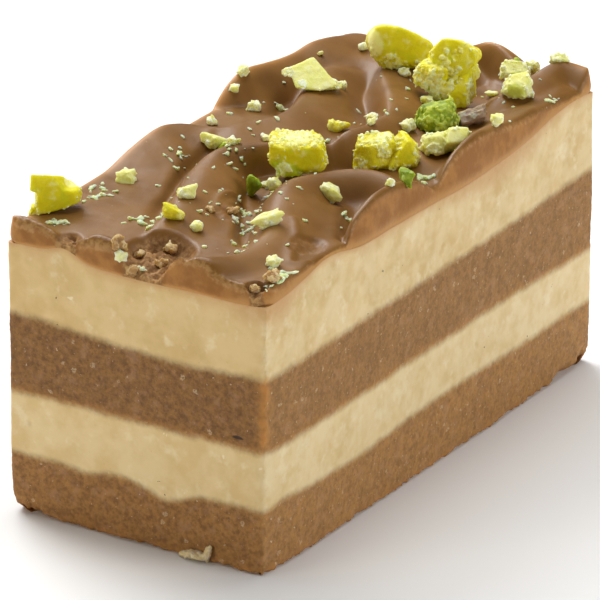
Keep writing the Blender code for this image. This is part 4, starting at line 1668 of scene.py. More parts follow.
class CrumbMaker:
    """Makes small irregular crumbs, the same each run."""

    SIDE_SPREAD = 0.25
    NEAREST_CUT = 0.62
    SHARPNESS = 22.0
    ROUGH = Waves(0.2, 0.4, 3, 0.7)
    FAR = 50.0

    def __init__(self, seed: int, detail: int = 2, cuts: int = 4) -> None:
        """Gets ready.

        Args:
            seed: Which of the possible crumbs it makes.
            detail: How fine they are.
            cuts: How many slanting cuts each has.
        """
        self.draw = np.random.default_rng(seed)
        self.noise = Grain(seed)
        self.ways, self.faces = ball(detail)
        self.cuts = cuts

    def crumb(self, size: Array) -> Array:
        """Makes one crumb.

        Args:
            size: About how large it is along each axis.

        Returns:
            Its points.
        """
        sides = np.concatenate([np.eye(3), -np.eye(3)])
        sides = sides + self.draw.normal(scale=self.SIDE_SPREAD, size=sides.shape)
        looks = unit(np.concatenate([sides, self.draw.normal(size=(self.cuts, 3))]))
        cuts = self.draw.uniform(self.NEAREST_CUT, 1.0, len(looks))
        radius = flat_faced(np.maximum(self.ways @ looks.T, 0.0) / cuts, self.SHARPNESS)
        shape = 0.5 * size * self.ways * radius[:, None]
        shift = self.draw.uniform(-self.FAR, self.FAR, 3)
        return shape * (1.0 + self.noise.layered(shape + shift, self.ROUGH))[:, None]

    def pack(self, places: Array, sizes: Array) -> tuple[Array, Array, Array]:
        """Crumbs at these places.

        Args:
            places: Their middles.
            sizes: Their sizes along each axis.

        Returns:
            Their points, their faces, and a tone from 0 to 1 for each point that is one over a crumb.
        """
        points = [place + self.crumb(size) for place, size in zip(places, sizes)]
        step = len(self.ways)
        faces = [self.faces + number * step for number in range(len(points))]
        tones = np.repeat(self.draw.uniform(0.0, 1.0, len(points)), step)
        return np.concatenate(points), np.concatenate(faces), tones


def nearest_of(known: Array, points: Array) -> list[int]:
    """Finds the nearest of some known points.

    Args:
        known: The known points.
        points: The points to find them for.

    Returns:
        The number of the nearest known point for each point.
    """
    tree = KDTree(len(known))
    for number, point in enumerate(known):
        tree.insert(point, number)
    tree.balance()
    return [tree.find(point)[1] for point in points]


@dataclass(frozen=True)
class Side:
    """The side of a nut that looks one way, from a least cosine on; over 1 there is none."""

    way: Triple
    least: float = 2.0

    def part(self, points: Array, rise: float) -> Array:
        """How much points lie towards it.

        Args:
            points: The points, one row each, round the nut's middle.
            rise: How far above the least cosine they lie fully in it.

        Returns:
            The part of it, from 0 to 1.
        """
        cosines = points @ unit(self.way) / np.maximum(np.linalg.norm(points, axis=1), TINY)
        return ease(self.least, self.least + rise, cosines)


@dataclass(frozen=True)
class Coat:
    """Crumbs that stick to the sides of a nut that look one way."""

    way: Triple
    least: float
    count: int
    size: float = 0.42
    near: Triple = (0.0, 0.0, 0.0)
    within: float = 99.0

    def spots(self, points: Array, looks: Array, draw: np.random.Generator) -> Array:
        """Where its crumbs stick.

        Args:
            points: The nut's points.
            looks: The ways its surface looks there.
            draw: The source of chance.

        Returns:
            The numbers of the points that have a crumb.
        """
        close = np.linalg.norm(points - np.array(self.near), axis=1) < self.within
        able = np.flatnonzero((looks @ unit(self.way) > self.least) & close)
        return draw.choice(able, size=min(self.count, len(able)), replace=False)


@dataclass
class ChoppedNut:
    """A large chopped piece of pistachio, which stands for a CAD node."""

    node: str
    kind: Crumble
    place: Pair
    lift: float
    lumps: tuple[Lump, ...]
    coats: tuple[Coat, ...]
    outside: Side = Side((0.0, 0.0, -1.0), 0.5)
    roughness: float = 0.05
    pale: Side = Side((0.0, 0.0, 1.0))
    skin: Side = Side((0.0, 0.0, 1.0))
    side_rises: Triple = (0.4, 0.15, 0.06)
    rough_waves: Waves = Waves(1.0, 1.1, 4, 0.6)
    outer_depth: float = 0.02
    crumb_detail: int = 3
    crumb_sizes: Pair = (0.5, 1.35)
    crumb_shapes: Pair = (0.75, 1.25)
    crumb_depths: Pair = (-0.3, 0.15)
    crumb_marks: Pair = (0.03, 0.1)
    cell: float = 0.085
    detail: int = 5

    def build(self, material: Material, ground: Ground) -> Piece:
        """Makes the piece where it lies on the chocolate.

        Args:
            material: Its material.
            ground: The height of the chocolate.

        Returns:
            The piece.
        """
        seed = sum(ord(letter) for letter in self.node)
        body, looks, faces = self.body()
        outer = self.beyond(body) > -self.outer_depth
        body = body + looks * (self.roughness * Grain(seed).layered(body, self.rough_waves))[:, None]
        crumbs, crumb_faces, tones = self.crumbs(body[outer], looks[outer], seed)
        lumps = [*faces, crumb_faces + len(body)]
        skin, quads = skin_of(np.concatenate([body, crumbs]), lumps, self.cell)
        marks = self.marks(skin, crumbs, tones)
        x, y = (np.array([part]) for part in self.place)
        placed = turned(skin, FRONT_TURN) + np.array([*self.place, float(ground(x, y)[0]) + self.lift])
        piece = make_piece(self.node + "_shape", placed, [quads], marks)
        return dress(piece, material, CRUMBLY[self.kind].slot, self.node)

    def body(self) -> tuple[Array, Array, list[Array]]:
        """The lumps that it is made of.

        Returns:
            Their points, the ways their surfaces look there, and their faces.
        """
        ways, triangles = ball(self.detail)
        points = [np.array(lump.middle) + ways * lump.radius(ways)[:, None] for lump in self.lumps]
        looks = [lump.normals(ways) for lump in self.lumps]
        faces = [triangles + number * len(ways) for number in range(len(points))]
        return np.concatenate(points), np.concatenate(looks), faces

    def beyond(self, points: Array) -> Array:
        """How far points are outside the piece without its crumbs."""
        return np.minimum.reduce([lump.beyond(points) for lump in self.lumps])

    def crumbs(self, points: Array, looks: Array, seed: int) -> tuple[Array, Array, Array]:
        """The crumbs that stick to it.

        Args:
            points: The points of its surface.
            looks: The ways the surface looks there.
            seed: Which of the possible crumbs they are.

        Returns:
            Their points, their faces and their tones.
        """
        maker = CrumbMaker(seed, self.crumb_detail)
        places, sizes = [], []
        for coat in self.coats:
            spots = coat.spots(points, looks, maker.draw)
            size = coat.size * maker.draw.uniform(*self.crumb_sizes, (len(spots), 1))
            sizes.append(size * maker.draw.uniform(*self.crumb_shapes, (len(spots), 3)))
            depth = size * maker.draw.uniform(*self.crumb_depths, (len(spots), 1))
            places.append(points[spots] + looks[spots] * depth)
        return maker.pack(np.concatenate(places), np.concatenate(sizes))

    def marks(self, skin: Array, crumbs: Array, tones: Array) -> dict[str, Array]:
        """All that the finish reads from the points.

        Args:
            skin: The points, one row each.
            crumbs: The crumbs' points.
            tones: Their tones.

        Returns:
            The numbers to store on the points, by name.
        """
        sides = {"outside": self.outside, "pale": self.pale, "skin": self.skin}
        marks = {"crumbed": ease(*self.crumb_marks, self.beyond(skin))}
        for (name, side), rise in zip(sides.items(), self.side_rises):
            marks[name] = side.part(skin, rise)
        marks["tone"] = tones[nearest_of(crumbs, skin)]
        return marks


@dataclass(frozen=True)
class Bit:
    """A small piece: where it lies, its size to the right, away and up, its crumbs, turn and tilt."""

    x: float
    y: float
    size: Triple
    grains: int = 0
    turn: float = 0.0
    tilt: float = 0.0
    lift: float = 0.35


@dataclass
class Bits:
    """Small pieces of one kind, joined into one mesh: single chips, or clusters of crumbs."""

    name: str
    kind: Crumble
    bits: Sequence[Bit]
    ground: Ground
    seed: int = 1
    detail: int = 3
    chip_seeds: int = 300
    grain_seeds: int = 600
    chip_crumbed: float = 0.1
    grain_crumbed: float = 0.9
    few: int = 14
    cluster_core: float = 0.7
    grain: float = 0.48
    grain_depths: Pair = (0.5, 0.85)
    grain_sizes: Pair = (0.5, 1.4)
    grain_shapes: Pair = (0.6, 1.4)
    largest_grain: float = 0.8
    cell: float = 0.095

    def build(self, material: Material) -> Piece:
        """Makes them all where they lie.

        Args:
            material: Their material.

        Returns:
            The piece.
        """
        chips = CrumbMaker(self.chip_seeds + self.seed, self.detail)
        grains = CrumbMaker(self.grain_seeds + self.seed, self.detail)
        points, faces, tones, coats = [], [], [], []
        for bit in self.bits:
            level = float(self.ground(np.array([bit.x]), np.array([bit.y]))[0]) + bit.lift * bit.size[2]
            parts = [(chips, self.chip(bit), self.chip_crumbed)]
            if bit.grains:
                parts.append((grains, self.crumbs(bit, grains.draw), self.grain_crumbed))
            for maker, (places, sizes), coat in parts:
                shape, rows, tone = maker.pack(places, sizes)
                faces.append(rows + sum(len(made) for made in points))
                points.append(turned(shape, FRONT_TURN + bit.turn, bit.tilt) + (bit.x, bit.y, level))
                tones.append(tone)
                coats.append(np.full(len(shape), coat))
        total = np.concatenate(points)
        skin, quads = skin_of(total, faces, self.cell)
        near = nearest_of(total, skin)
        marks = {"tone": np.concatenate(tones)[near], "crumbed": np.concatenate(coats)[near]}
        marks.update({name: np.zeros(len(skin)) for name in ("outside", "pale", "skin")})
        return dress(make_piece(self.name, skin, [quads], marks), material, CRUMBLY[self.kind].slot)

    def chip(self, bit: Bit) -> tuple[Array, Array]:
        """The middle and size of a bit's solid core, smaller in a cluster."""
        core = np.array(bit.size) * (self.cluster_core if bit.grains > self.few else 1.0)
        return np.zeros((1, 3)), core[None, :]

    def crumbs(self, bit: Bit, draw: np.random.Generator) -> tuple[Array, Array]:
        """The crumbs round a bit's core.

        Args:
            bit: The bit.
            draw: The source of chance.

        Returns:
            Their middles and sizes.
        """
        ways = unit(draw.normal(size=(bit.grains, 3)))
        places = 0.5 * np.array(bit.size) * ways * draw.uniform(*self.grain_depths, (bit.grains, 1))
        sizes = self.grain * draw.uniform(*self.grain_sizes, (bit.grains, 1))
        sizes = sizes * draw.uniform(*self.grain_shapes, (bit.grains, 3))
        return places, np.minimum(sizes, self.largest_grain * np.array(bit.size))


@dataclass(frozen=True)
class DustField:
    """A patch over which fine crumbs lie."""

    x: float
    y: float
    reach_x: float
    reach_y: float
    count: int
    size: float = 0.42
    spread: float = 0.6
    inside_x: float = 14.6
    inside_y: float = 30.6
    sizes: Pair = (0.5, 1.35)
    flakes: Triple = (1.5, 0.85, 0.6)
    shapes: Pair = (0.7, 1.3)
    steepest: float = 25.0
    lift: float = 0.2
    most_grains: int = 3

    def scatter(self, draw: np.random.Generator) -> list[Bit]:
        """Its fine crumbs.

        Args:
            draw: The source of chance.

        Returns:
            The crumbs.
        """
        dust = []
        for _ in range(self.count):
            x = self.x + self.reach_x * self.spread * draw.normal()
            y = self.y + self.reach_y * self.spread * draw.normal()
            x = float(np.clip(x, -self.inside_x, self.inside_x))
            y = float(np.clip(y, -self.inside_y, self.inside_y))
            size = self.size * draw.uniform(*self.sizes) * np.array(self.flakes)
            size = size * draw.uniform(*self.shapes, 3)
            turn, tilt = draw.uniform(0, 360), draw.uniform(-self.steepest, self.steepest)
            grains = draw.integers(0, self.most_grains + 1)
            dust.append(Bit(x, y, tuple(size), grains, turn, tilt, self.lift))
        return dust


# -------- The studio --------


def towards(azimuth: float, elevation: float) -> Vector:
    """The way from the slice to something hung round it, at these angles in degrees from its front."""
    a, e = math.radians(azimuth), math.radians(elevation)
    return Vector((math.sin(a) * math.cos(e), -math.cos(a) * math.cos(e), math.sin(e)))


def hang(name: str, thing: bpy.types.ID, target: Vector, way: Vector, distance: float) -> Piece:
    """Hangs a lamp or a camera.

    Args:
        name: The object's name.
        thing: The lamp or the camera.
        target: What it looks at, in metres.
        way: The way to it from there.
        distance: How far it is, in metres.

    Returns:
        The object.
    """
    hung = bpy.data.objects.new(name, thing)
    hung.location = target + way * distance
    hung.rotation_euler = way.to_track_quat("Z", "Y").to_euler()
    bpy.context.scene.collection.objects.link(hung)
    return hung


@dataclass(frozen=True)
class SoftLight:
    """A large soft lamp that looks at the slice, its distance and size in metres."""

    name: str
    azimuth: float
    elevation: float
    distance: float
    size: float
    power: float
    colour: Colour = (1.0, 1.0, 1.0)

    def build(self, target: Vector) -> None:
        """Hangs the lamp.

        Args:
            target: What it looks at.
        """
        lamp = bpy.data.lights.new(self.name, "AREA")
        lamp.shape = "DISK"
        lamp.size = self.size
        lamp.energy = self.power
        lamp.color = self.colour
        hang(self.name, lamp, target, towards(self.azimuth, self.elevation), self.distance)


@dataclass
class Studio:
    """The floor, the lights and the camera, with the camera's distance and the floor's size in metres."""

    azimuth: float = FRONT_TURN
    elevation: float = 23.2
    distance: float = 0.7017
    lens: float = 420.0
    sensor: float = 36.0
    nearest: float = 0.01
    target_right: float = -0.77
    target_height: float = 14.59
    floor_size: float = 2.4
    sky: tuple[float, float, float, float] = (1.0, 1.0, 1.0, 1.0)
    sky_strength: float = 0.16
    lights: tuple[SoftLight, ...] = (
        SoftLight("key_light", 240.0, 40.0, 1.0, 0.7, 9.2),
        SoftLight("top_light", 215.0, 76.0, 1.0, 0.8, 6.0),
        SoftLight("right_light", 100.0, 17.0, 1.0, 0.5, 4.35, (0.98, 1.0, 1.03)),
        SoftLight("left_light", -32.0, 7.0, 1.0, 0.5, 3.65, (1.0, 0.94, 0.79)),
    )

    def build(self) -> None:
        """Sets them up."""
        a = math.radians(self.azimuth)
        right = self.target_right
        target = Vector((right * math.cos(a), right * math.sin(a), self.target_height)) * MM
        self.build_floor()
        self.build_sky()
        for light in self.lights:
            light.build(target)
        self.build_camera(target)

    def build_floor(self) -> None:
        """Lays the floor that the slice stands on."""
        half = 0.5 * self.floor_size * PER_MM
        points = np.array([(-half, -half, 0.0), (half, -half, 0.0), (half, half, 0.0), (-half, half, 0.0)])
        floor = make_piece("studio_floor", points, [np.array([[0, 1, 2, 3]])], {})
        floor.data.materials.append(StudioFloor().make())

    def build_sky(self) -> None:
        """Makes the white all round."""
        world = bpy.data.worlds.new("studio_white")
        world.use_nodes = True
        background = world.node_tree.nodes["Background"]
        background.inputs["Color"].default_value = self.sky
        background.inputs["Strength"].default_value = self.sky_strength
        bpy.context.scene.world = world
        bpy.context.scene.view_settings.view_transform = "Standard"

    def build_camera(self, target: Vector) -> None:
        """Sets the camera.

        Args:
            target: What it looks at.
        """
        camera = bpy.data.cameras.new("camera")
        camera.lens = self.lens
        camera.sensor_width = self.sensor
        camera.clip_start = self.nearest
        way = towards(self.azimuth, self.elevation)
        bpy.context.scene.camera = hang("camera", camera, target, way, self.distance)


# -------- This slice --------

BASE_TOP = Boundary(6.9, (
    Swell(-12, -31, -0.4, 6, 12), Swell(-6, -31, -0.6, 2.5, 8), Swell(3.2, -31, -1.4, 2.8, 8),
    Swell(15, -27, 0.3, 6, 3), Swell(15, -14, -0.3, 8, 5), Swell(15, 3, 0.4, 10, 8),
))
LOWER_CREAM_TOP = Boundary(12.9, (Swell(15, 31, -0.4, 10, 12),))
MIDDLE_TOP = Boundary(20.9, (
    Swell(-13, -31, 0.5, 6, 14), Swell(5, -31, -0.4, 9, 10), Swell(15, 30, 0.6, 9, 12),
))
UPPER_CREAM_TOP = Boundary(28.6, (
    Swell(-12, -31, 0.3, 3, 8), Swell(-8.2, -31, 1, 2, 3), Swell(12, -31, -0.3, 4, 6),
    Swell(0, -31.5, -0.55, 10, 4), Swell(15, -20, 1.1, 6, 4.5), Swell(15, 7, -0.4, 8, 8),
    Swell(15, 27, 1.5, 9, 8), Swell(-15, 5, 0.4, 7, 9), Swell(-6, 31, -0.4, 6, 8),
))
PITS = (
    Pit(12, -31.2, 17.3, 0.26, 0.75), Pit(11.5, -31.2, 14.1, 0.8, 0.2), Pit(15, 1.5, 23.2, 0.3, 0.34),
    Pit(-12.6, -31.2, 9.9, 0.22, 0.3), Pit(15, 8.2, 10.1, 0.2, 0.3),
)
TOPPING_LEVEL = 30.2
TOPPING_SWELLS = (
    Swell(-8, -26, 0.35, 7, 7), Swell(9, 10, 0.5, 5, 8), Swell(3.2, 1.5, -0.7, 2.6, 2.6),
    Swell(-10, 12, -0.3, 3, 4), Swell(5.5, 25, -0.6, 2.5, 5), Swell(-4, 28, 0.5, 8, 6),
)
FOLDS = (
    Fold((
        (-15.4, -17.5, 29.9, 2, 5), (-15.2, -13.7, 30.4, 2, 6), (-15.1, -9.6, 31.3, 2, 7),
        (-14.8, -5.6, 31.8, 1.6, 7), (-13.6, -3, 31.7, 1.3, 6), (-11.4, -1.6, 31.5, 1.2, 5),
        (-9.4, -0.8, 31.5, 1.2, 5), (-7.9, 1.9, 31.5, 1.2, 5), (-6.5, 4.6, 31.5, 1.2, 6),
        (-6.4, 7.4, 31.5, 1.2, 6), (-7.1, 10.4, 31.4, 1.3, 7), (-8.4, 14, 31.2, 1.5, 7),
        (-9.5, 19, 31, 2, 7),
    )),
    Fold((
        (-0.8, -28, 30.6, 1.6, 4), (-1.6, -24.5, 31, 1.6, 5), (-2.3, -20.8, 31.4, 1.6, 6),
        (-3.9, -17.2, 31.7, 1.6, 6), (-5.2, -13.9, 31.8, 1.6, 6), (-6.2, -10.5, 31.8, 1.8, 5),
        (-6.4, -7.2, 31.8, 2.2, 3.6), (-5.3, -4.4, 31.8, 2, 2.6), (-2.9, -2.2, 31.9, 1.5, 2.4),
        (-0.6, 0, 32, 1.2, 2.4), (1.2, 2, 32, 1.1, 2.2), (2.6, 5, 32, 1.1, 2.2), (3.3, 8.2, 32, 1.1, 3),
        (2.9, 10.8, 32, 1.2, 4), (1, 13.6, 32, 1.4, 5), (-1.5, 16.6, 31.9, 1.6, 6),
        (-3.4, 19.4, 31.8, 1.8, 6), (-4.5, 23.5, 31.4, 2, 6),
    )),
    Fold((
        (5, -31.5, 31.5, 1.5, 2.5), (7.4, -30.6, 31.8, 1.5, 2.2), (9, -28, 31.4, 1.6, 3),
        (9.7, -24.8, 31.3, 2.2, 4), (9.2, -21.8, 31.4, 2.8, 5), (8, -18.6, 31.5, 3, 5),
        (6.6, -15.4, 31.8, 3, 5), (5.2, -12.2, 32, 3, 5), (4.7, -9.8, 32, 2.6, 4), (5.6, -7.5, 32, 1.8, 3),
        (7.2, -5.2, 32, 1.3, 2.8), (9.4, -3.7, 32, 1.2, 2.8), (11.8, -3.6, 31.8, 1.2, 2.6),
        (13.8, -4.4, 31.2, 1.2, 2.4),
    )),
    Fold((
        (16.4, -17.4, 30, 0.9, 3), (15.6, -16.4, 30.6, 0.8, 3), (14.9, -15.4, 32.2, 0.9, 3),
        (14.4, -14, 32.9, 1.1, 3), (14.2, -11, 33.3, 1.3, 3), (14.3, -8, 33, 1.4, 3),
        (14.5, -5, 32.4, 1.4, 3), (15, -2.4, 31.5, 1.2, 3), (15.6, -0.8, 30.6, 1, 3),
    )),
    Fold((
        (15.6, 0.4, 30.4, 1.2, 3), (15.1, 2.4, 32, 1.4, 3), (14.8, 5, 32.7, 1.8, 3),
        (14.6, 8, 32.9, 2.5, 3), (14.6, 11, 32.6, 3.5, 3), (14.5, 15, 32, 4, 3), (14.3, 19, 31.7, 5, 3),
        (14, 23, 31.4, 5, 3), (13, 27, 31.4, 5, 3),
    )),
    Fold((
        (-2, 32, 32, 3, 1.6), (1, 31.6, 32.7, 3, 1.4), (3.4, 30.8, 32.9, 3, 1.4), (6, 29.6, 32.3, 3, 1.3),
        (8.2, 28.4, 31.4, 2, 1.2),
    )),
    Fold((
        (9.6, 17, 31, 3, 5), (10.2, 22, 31.6, 2.4, 5), (10.6, 26, 32.2, 1.8, 4), (11.4, 29.4, 32.8, 1.6, 3),
        (12.8, 30.6, 32.6, 1.6, 3), (14.2, 30.8, 32.4, 1.6, 3),
    )),
    Fold((
        (-15.8, 4.8, 29.6, 2, 1.2), (-15.4, 7, 31.4, 2, 2), (-15.2, 9, 32.5, 2, 3),
        (-15.2, 11.4, 32.8, 2, 3.4), (-15.2, 15, 32.3, 2, 3.6), (-15, 19.6, 31.5, 2, 4),
        (-14.5, 24.4, 31.5, 2, 6), (-13, 29, 30.9, 2, 6),
    )),
    Fold((
        (-15.5, -30.6, 31, 2, 2), (-13.6, -30.5, 31.4, 1.8, 2), (-11.6, -30.7, 31.3, 1.5, 2),
        (-9.8, -31, 31, 1.2, 2), (-8.4, -31.4, 29.8, 1, 2),
    )),
    Fold((
        (-7, -31.2, 29.9, 1, 2), (-6.2, -30.8, 30.8, 1.2, 2), (-4.8, -30.4, 31.4, 1.5, 2),
        (-3, -30.4, 31.3, 1.4, 2), (-1.2, -30.9, 30.8, 1.2, 2),
    )),
)
GROOVES = (
    Fold((
        (6.8, -22.2, 0.4, 0.8, 1.2), (5.3, -20.4, 1.3, 0.6, 1.5), (3.4, -17.2, 1.7, 0.5, 1.5),
        (1.5, -13.8, 1.8, 0.6, 1.6), (0, -10.5, 2, 1, 1.8), (-1.3, -7.2, 2.1, 1.2, 2),
        (-2, -4.8, 2.1, 1.3, 2), (-1.2, -3, 1.8, 1.2, 2), (1.6, -1.6, 1.2, 1.2, 1.8),
    ), 0),
    Fold((
        (-9.4, -2, 0.2, 1.2, 0.5), (-9, -4.4, 0.6, 1.4, 0.6), (-8.6, -8.7, 0.9, 1.8, 0.6),
        (-7.3, -12.4, 1, 1.9, 0.6), (-5.9, -15.5, 0.9, 1.9, 0.6), (-5, -18.8, 0.6, 1.7, 0.7),
        (-3.6, -22.4, 0.2, 1.4, 0.7),
    ), 0),
    Fold((
        (1.6, 10, 0.3, 1.2, 0.7), (-0.1, 12.8, 1.4, 1.9, 0.8), (-2.4, 16, 1.5, 2, 0.9),
        (-5.6, 20.2, 1.2, 2.2, 1), (-7.4, 23, 0.4, 1.6, 1),
    ), 0),
    Fold((
        (0.4, 3.4, 0.5, 1, 1.3), (2.4, 1, 1.6, 1.2, 1.6), (4.4, 0.6, 1.5, 1.3, 1.5),
        (6.4, 2.4, 0.5, 1.2, 1.2),
    ), 0),
    Fold((
        (-9.2, 8.4, 0.3, 0.8, 0.8), (-9.9, 11.2, 1.5, 0.9, 0.9), (-10.6, 14.4, 0.9, 1, 0.9),
        (-10.8, 17, 0.2, 0.9, 0.9),
    ), 0),
    Fold((
        (8.6, -8, 0.3, 1.6, 1), (10.2, -7.8, 1, 1.8, 1.4), (11.6, -10, 1.3, 2, 1.2),
        (12.8, -13, 1.2, 2, 0.8), (14, -15.6, 0.7, 1.6, 0.6),
    ), 0),
    Fold((
        (3.4, 29.2, 0.5, 0.8, 1.4), (4.2, 26.4, 1.3, 0.9, 1.6), (6.2, 22.4, 1.1, 1, 1.6),
        (8.4, 19, 0.3, 1, 1.4),
    ), 0),
)
FLAPS = (
    Fold((
        (9.2, -16.8, 0.22, 0.2, 0.7), (11.4, -19.8, 0.34, 0.16, 0.8), (12.9, -23.4, 0.38, 0.16, 0.9),
        (13.5, -24.2, 0.3, 0.2, 0.7), (14.6, -23, 0.2, 0.3, 0.6),
    ), 0),
    Fold((
        (0.4, -17.6, 0.1, 0.5, 0.3), (-0.6, -14.6, 0.3, 0.6, 0.16), (0, -12.6, 0.4, 0.6, 0.14),
        (1.2, -12.4, 0.3, 0.5, 0.14), (2, -14.2, 0.24, 0.5, 0.14), (3.2, -16.8, 0.16, 0.5, 0.16),
    ), 0),
)
TEARS = (
    Tear(0.9, -28.6, 3.6, 4.2, 1.5, 0.5), Tear(-8, -31, 1.3, 1.6, 0.5, 0.5),
    Tear(13.4, -30.4, 1.2, 1, 0.9, 0.4), Tear(12.6, -20.2, 1.5, 2.6, 0.3, 0.25),
    Tear(1.4, -16.4, 1.6, 3, 0, 0.2),
)
